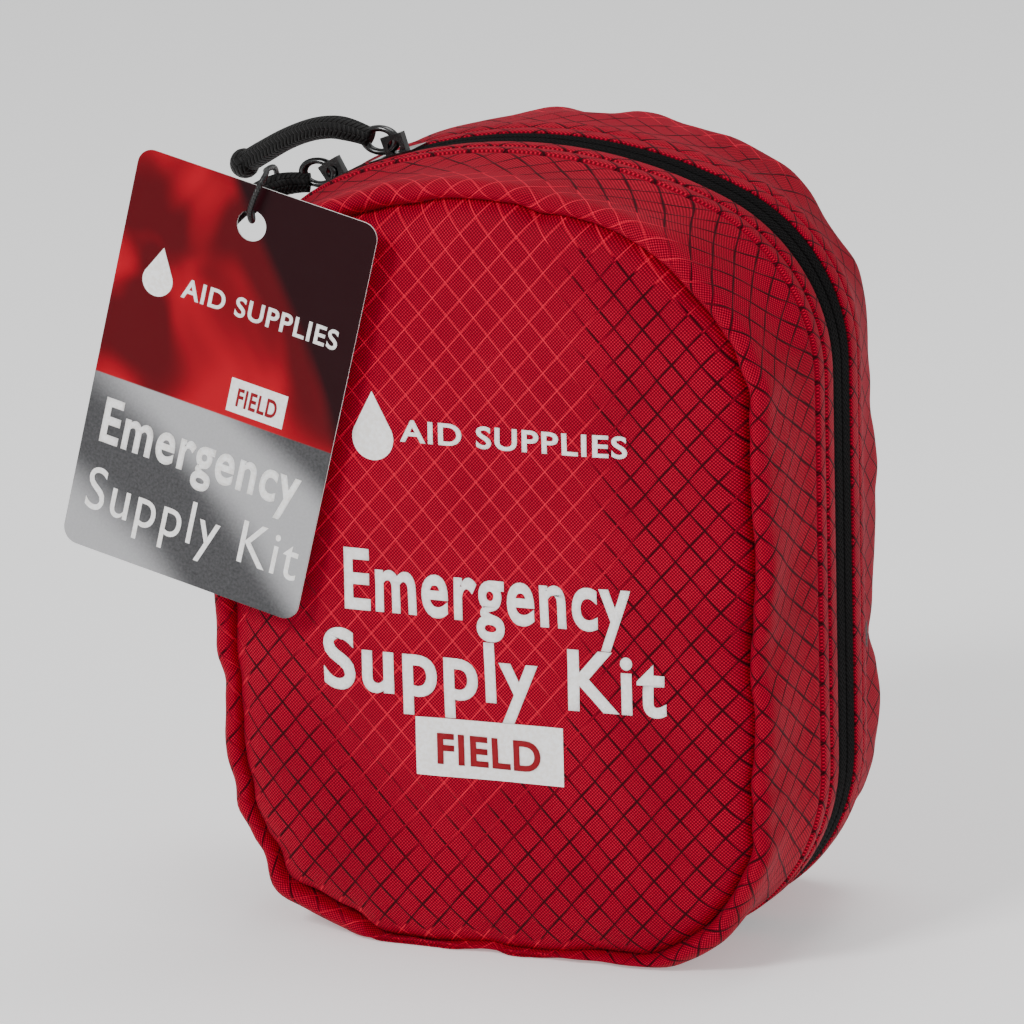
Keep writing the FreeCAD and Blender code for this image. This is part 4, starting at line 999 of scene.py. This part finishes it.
# Tourniquet: 38 mm nylon webbing folded into five layers under a stiff backplate, with a moulded
# windlass rod, a clip that catches it, a buckle, and a narrower ribbon through the rod.
folds, layers = [], (34.2, 32.1, 30.0, 27.9, 25.8)
for i, y in enumerate(layers):
    top_end, low_end = 171.2 - (i % 3) * 0.9, 18.8 + (i % 2) * 1.2
    first, last = (top_end, low_end) if i % 2 == 0 else (low_end, top_end)
    for z in (first, first + (last - first) * 0.03, first + (last - first) * 0.35,
              first + (last - first) * 0.68, first + (last - first) * 0.97, last):
        folds.append((0, y + (0.15 * math.sin(z / 11 + i) if first != z != last else 0), z))
strap("tourniquet_band_webbing", folds, (1, 0, 0), 37.6, 1.5, webbing, "rear_half", "webbing",
      "tourniquet_band")
for name, low in (("strap_lower", 49), ("strap_upper", 155)):
    strap(f"{name}_elastic", [(-20.0, 35, low + 5), (-20.0, 33, low + 5), (-20.0, 26, low + 5),
                              (-20.0, 24.5, low + 5), (-18.0, 24.4, low + 5), (0, 24.3, low + 5),
                              (18.0, 24.4, low + 5), (20.0, 24.5, low + 5), (20.0, 26, low + 5),
                              (20.0, 33, low + 5), (20.0, 35, low + 5)], (0, 0, 1), 9.8, 0.7,
          rubber, "rear_half", "elastic", name)
ribbon = [(0, 22.0, 63.5), (0, 22.0, 72), (0, 22.0, 86), (0, 20.6, 91.6), (0, 12.0, 94.2),
          (0, 10.8, 95), (0, 12.0, 95.8), (0, 20.6, 98.4), (0, 22.0, 104), (0, 22.0, 118),
          (0, 22.0, 126.5)]
ribbon_piece = strap("windlass_ribbon_webbing", ribbon, (1, 0, 0), 24, 0.7, webbing, "rear_half",
                     "webbing", "windlass_ribbon")
for vertex in ribbon_piece.data.vertices:
    squeeze = 1 - 0.8 * smooth(-vertex.co.y, -21.4 * MM, -19.5 * MM)
    vertex.co.x *= squeeze
# Glass-filled nylon, moulded black: a fine spark-eroded texture and a dull gloss.
moulded, tree, shader = material("moulded_glass_filled_nylon", "0e0e0f", 0.5,
        Specular_IOR_Level=0.4)
body_place = add(tree, "TexCoord").outputs["Object"]
grit = add(tree, "TexNoise", Vector=body_place, Scale=1500.0, Detail=2.0)
feed(tree, shader, Normal=add(tree, "Bump", Height=grit, Distance=0.06 * MM))
feed(tree, shader, Roughness=add(tree, "MapRange", SMOOTH, Value=add(tree, "TexNoise",
        Vector=body_place, Scale=70.0), From_Min=0.3, From_Max=0.7, To_Min=0.42,
        To_Max=0.6).outputs[0])
for node in ("backplate", "windlass_clip", "band_buckle"):
    rounded_copy(node, f"{node}_moulding", 0.5, moulded, "rear_half", segments=2)
# The rod's grip has moulded rings 3 mm apart.
gripped, tree, shader = material("moulded_rod_nylon", "101011", 0.42, Specular_IOR_Level=0.45)
rod_place = add(tree, "SeparateXYZ", Vector=add(tree, "TexCoord").outputs["Object"])
rings = add(tree, "MapRange", SMOOTH, Value=wave(tree, rod_place.outputs[2], 3.0 * MM),
            From_Min=0.2, From_Max=0.5)
feed(tree, shader, Normal=add(tree, "Bump", Height=rings, Distance=0.5 * MM))
rounded_copy("windlass_rod", "windlass_rod_moulding", 0.8, gripped, "windlass", 3)
# Label strap: white coated cloth that takes a pen, with grey printed lines 4 mm apart.
label_cloth, tree, shader = material("white_coated_label", "cfcfcb", 0.55, Specular_IOR_Level=0.3)
label_place = add(tree, "SeparateXYZ", Vector=add(tree, "TexCoord").outputs["Object"])
label_lines = add(tree, "MapRange", SMOOTH, Value=wave(tree, label_place.outputs[2], 4.0 * MM),
                  From_Min=0.06, From_Max=0.12)
threads = wave(tree, label_place.outputs[0], 0.7 * MM)
feed(tree, shader, Normal=add(tree, "Bump", Height=threads, Distance=0.08 * MM))
feed(tree, shader, Base_Color=add(tree, "Mix", COLOURS, _0=label_lines, _6="55585c", _7="d8d8d4"))
strap("time_strap_label", [(8.3, 9.95, 143), (4, 9.95, 143), (-3, 9.9, 143), (-9, 9.95, 143),
        (-12.4, 10.0, 143)], (0, 0, 1), 11.8, 0.5, label_cloth, "time_flap", "time_label",
      "time_strap")

# Net pocket: knotless black nylon net with 3 mm diamond holes, sewn down round its edge so that
# it bellies out over what it holds, with a gathered elastic edge on top.
net_yarn, tree, shader = material("black_nylon_net", "0a0a0a", 0.6, Specular_IOR_Level=0.3)
twist_noise = add(tree, "TexNoise", Vector=add(tree, "TexCoord").outputs["Object"], Scale=1800.0)
feed(tree, shader, Normal=add(tree, "Bump", Height=twist_noise, Distance=0.08 * MM))
POCKET_TOP = 108
pocket_edge = [Vector((min(63, max(-63, p.x)), p.y)) for p in outline(**SEAM, inset=6.4)]


def edge_gap(x, z):
    """How far a point is inside the pocket's sewn edge, in millimetres."""
    gaps = []
    for p, q in zip(pocket_edge, pocket_edge[1:] + pocket_edge[:1]):
        run = q - p
        t = 0 if run.length < 1e-9 else min(1,
                max(0, (Vector((x, z)) - p).dot(run) / run.dot(run)))
        gaps.append((p + run * t - Vector((x, z))).length)
    return min(gaps)


CELL = 3.4
points, index, faces = [], {}, []
for row in range(-2, 34):
    for column in range(-20, 21):
        x, z = column * CELL + (row % 2) * CELL / 2, 5.8 + row * CELL * 0.94
        half_here = 62.6 if z > 43 else 19.5 + math.sqrt(max(0, 43 ** 2 - (43 - min(43, z)) ** 2))
        if z > POCKET_TOP + 1 or z < 5.6 or abs(x) > half_here:
            continue
        gap = edge_gap(x, z)
        y = -33.6 + 30.2 * smooth(gap, -2, 17) + 0.6 * drift(x / 18, z / 18, 31)
        index[column, row] = len(points)
        points.append(Vector((x, y, z)) * MM)
for (column, row), at in index.items():
    shift = row % 2
    ring = [(column, row), (column + shift, row + 1), (column, row + 2), (column + shift - 1,
            row + 1)]
    if all(key in index for key in ring):
        faces.append(tuple(index[key] for key in ring))
net = new_object("mesh_pocket_net", points, faces, finish=net_yarn)
face_out(net, lambda p: Vector((0, 1, 0)))
yarn = net.modifiers.new("Yarn", "WIREFRAME")
yarn.thickness = 0.55 * MM
yarn.use_even_offset = False
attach(net, "front_half")
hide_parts("mesh_pocket")
gathers = [(x, -4.0 + 0.55 * math.sin(x * 1.3) - 12 * smooth(abs(x), 56, 64), POCKET_TOP + 2.1
            + 0.3 * math.sin(x * 0.7)) for x in range(-62, 63)]
strap("pocket_elastic_edge", gathers, (0, 0, 1), 4.6, 1.1, rubber, "front_half", "elastic",
      "pocket_elastic")

# Supplies in the pocket: a vacuum-packed dressing, a gauze pack and a glove pouch, each in printed
# film with a crimped seal at its top and bottom.


def film(name, low_colour, high_colour, roughness, scale):
    """Printed packing film: thin plastic or coated paper, glossy, with fine creases."""
    made, tree, shader = material(name, high_colour, roughness, Coat_Weight=0.3,
            Coat_Roughness=0.2, Specular_IOR_Level=0.4)
    body_place = add(tree, "TexCoord").outputs["Object"]
    creases = add(tree, "TexNoise", Vector=body_place, Scale=scale, Detail=5.0, Distortion=1.5)
    feed(tree, shader, Normal=add(tree, "Bump", Height=creases, Distance=0.7 * MM))
    # The colour is darker in the hollows of the creases, following the bump: painted shade in the
    # creases.
    feed(tree, shader, Base_Color=add(tree, "Mix", COLOURS, _0=add(tree, "MapRange", SMOOTH,
            Value=creases, From_Min=0.35, From_Max=0.7), _6=low_colour, _7=high_colour))
    return made


def pack(node, name, finish, seal, wrinkle, seed):
    """A pillow in sealed film that fills a CAD node's box, with flat crimped ends."""
    low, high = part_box(node)
    middle, half_size = (low + high) / 2, (high - low) / 2
    wide, tall = 26, 34
    points = []
    for face in (-1, 1):
        for j in range(tall + 1):
            for i in range(wide + 1):
                a, b = 2 * i / wide - 1, 2 * j / tall - 1
                body_share = (1 - abs(a) ** 5) * (1 - smooth(abs(b), seal - 0.12, seal + 0.04))
                swell = 0.06 + 0.9 * max(0, body_share) ** 0.5
                swell += wrinkle * body_share * (0.6 * drift(a * 3.1, b * 4.2, seed + face) + 0.4
                        * drift(a * 8, b * 9, seed + face))
                if abs(b) > seal:
                    swell += 0.02 * math.sin(b * 190)
                drawn_in = 1 - 0.03 * body_share * (abs(b) < seal)
                points.append(Vector((middle.x + a * half_size.x * drawn_in, middle.y + face
                                      * half_size.y * min(1, swell), middle.z + b * half_size.z)))
    columns, size = wide + 1, (wide + 1) * (tall + 1)
    faces = grid_faces(tall + 1, columns)
    faces += [tuple(size + k for k in f[::-1]) for f in faces]
    rim = ([(i, i + 1) for i in range(wide)] + [(wide + j * columns, wide + (j + 1) * columns)
            for j in range(tall)] + [(tall * columns + i + 1, tall * columns + i)
            for i in reversed(range(wide))] + [((j + 1) * columns, j * columns)
            for j in reversed(range(tall))])
    faces += [(a, size + a, size + b, b) for a, b in rim]
    made = new_object(name, points, faces, finish=finish)
    weld(made)
    soft = made.modifiers.new("Soft", "SUBSURF")
    soft.levels = soft.render_levels = 1
    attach(made, "front_half")
    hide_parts(node)
    return made


pack("pressure_dressing", "pressure_dressing_pack", film("olive_printed_film", "33391f", "565e36",
        0.4, 60.0), 0.84, 0.12, 41)
pack("gauze_pack", "gauze_pack_film", film("white_paper_film", "b9bcc0", "e2e4e6", 0.5, 80.0),
     0.82, 0.14, 47)
pack("glove_pouch", "glove_pouch_film", film("pale_blue_film", "5b86a8", "9dc0d8", 0.35, 45.0),
     0.9, 0.2, 53)

# Shears: stamped stainless steel blades with black handles moulded on, and a turned rivet. The
# steel is ground across the blade, which leaves fine lines.
steel, tree, shader = material("ground_stainless_steel", "b9bbbd", 0.3, Metallic=1.0)
steel_place = add(tree, "Mapping", Vector=add(tree, "TexCoord").outputs["Object"], Scale=(300.0,
        300.0, 5200.0))
ground = add(tree, "TexNoise", Vector=steel_place, Scale=1.0, Detail=2.0)
feed(tree, shader, Normal=add(tree, "Bump", Height=ground, Distance=0.02 * MM))
feed(tree, shader, Roughness=add(tree, "MapRange", SMOOTH, Value=ground, From_Min=0.3,
        From_Max=0.7, To_Min=0.22, To_Max=0.4).outputs[0])
HANDLE_TOP = 72
for node, body in (("shears_fixed_half", "front_half"), ("shears_moving_half", "shears_moving"),
                   ("shears_rivet", "front_half")):
    piece = rounded_copy(node, f"{node}_steel", 0.35, steel, body, segments=2)
    if node != "shears_rivet":
        piece.data.materials.append(moulded)
        for face in piece.data.polygons:
            face.material_index = 1 if face.center.z < HANDLE_TOP * MM else 0

# Studio: a floor of white paper, lit by three large soft lamps and an even white surround. The
# paper is matt, with a fine grain and a faint light of its own, so that it stays pale.
FLOOR_LIGHT, SURROUND_LIGHT, FLOOR_SIZE = 0.35, 0.48, 12
sweep_paint, tree, shader = material("white_studio_paper", "f7f7f7", 0.9)
grain = add(tree, "TexNoise", Vector=add(tree, "TexCoord").outputs["Object"], Scale=300.0)
feed(tree, shader, Normal=add(tree, "Bump", Height=grain, Distance=0.02 * MM))
bpy.ops.object.select_all(action="DESELECT")
bpy.ops.mesh.primitive_plane_add(size=FLOOR_SIZE, location=(0, 0, 0))
floor = bpy.context.object
floor.name = "floor"
feed(tree, shader, Emission_Color="ffffff", Emission_Strength=FLOOR_LIGHT)
floor.data.materials.append(sweep_paint)
world = bpy.data.worlds.new("studio")
bpy.context.scene.world = world
world.use_nodes = True
feed(world.node_tree, world.node_tree.nodes["Background"], Color="ffffff", Strength=SURROUND_LIGHT)


def soft_lamp(name, place, size, power):
    """A square soft lamp that faces the middle of the pouch."""
    lamp = bpy.data.objects.new(name, bpy.data.lights.new(name, "AREA"))
    bpy.context.scene.collection.objects.link(lamp)
    lamp.data.size = size
    lamp.data.energy = power
    lamp.location = place
    lamp.rotation_euler = (Vector((0, 0, 0.1)) - Vector(place)).to_track_quat("-Z", "Y").to_euler()


soft_lamp("key", (-0.5, -1.3, 1.2), 0.4, 17)
soft_lamp("fill", (1.4, -1.0, 0.7), 0.9, 4)
soft_lamp("top", (0.1, 0.3, 1.5), 0.8, 9)
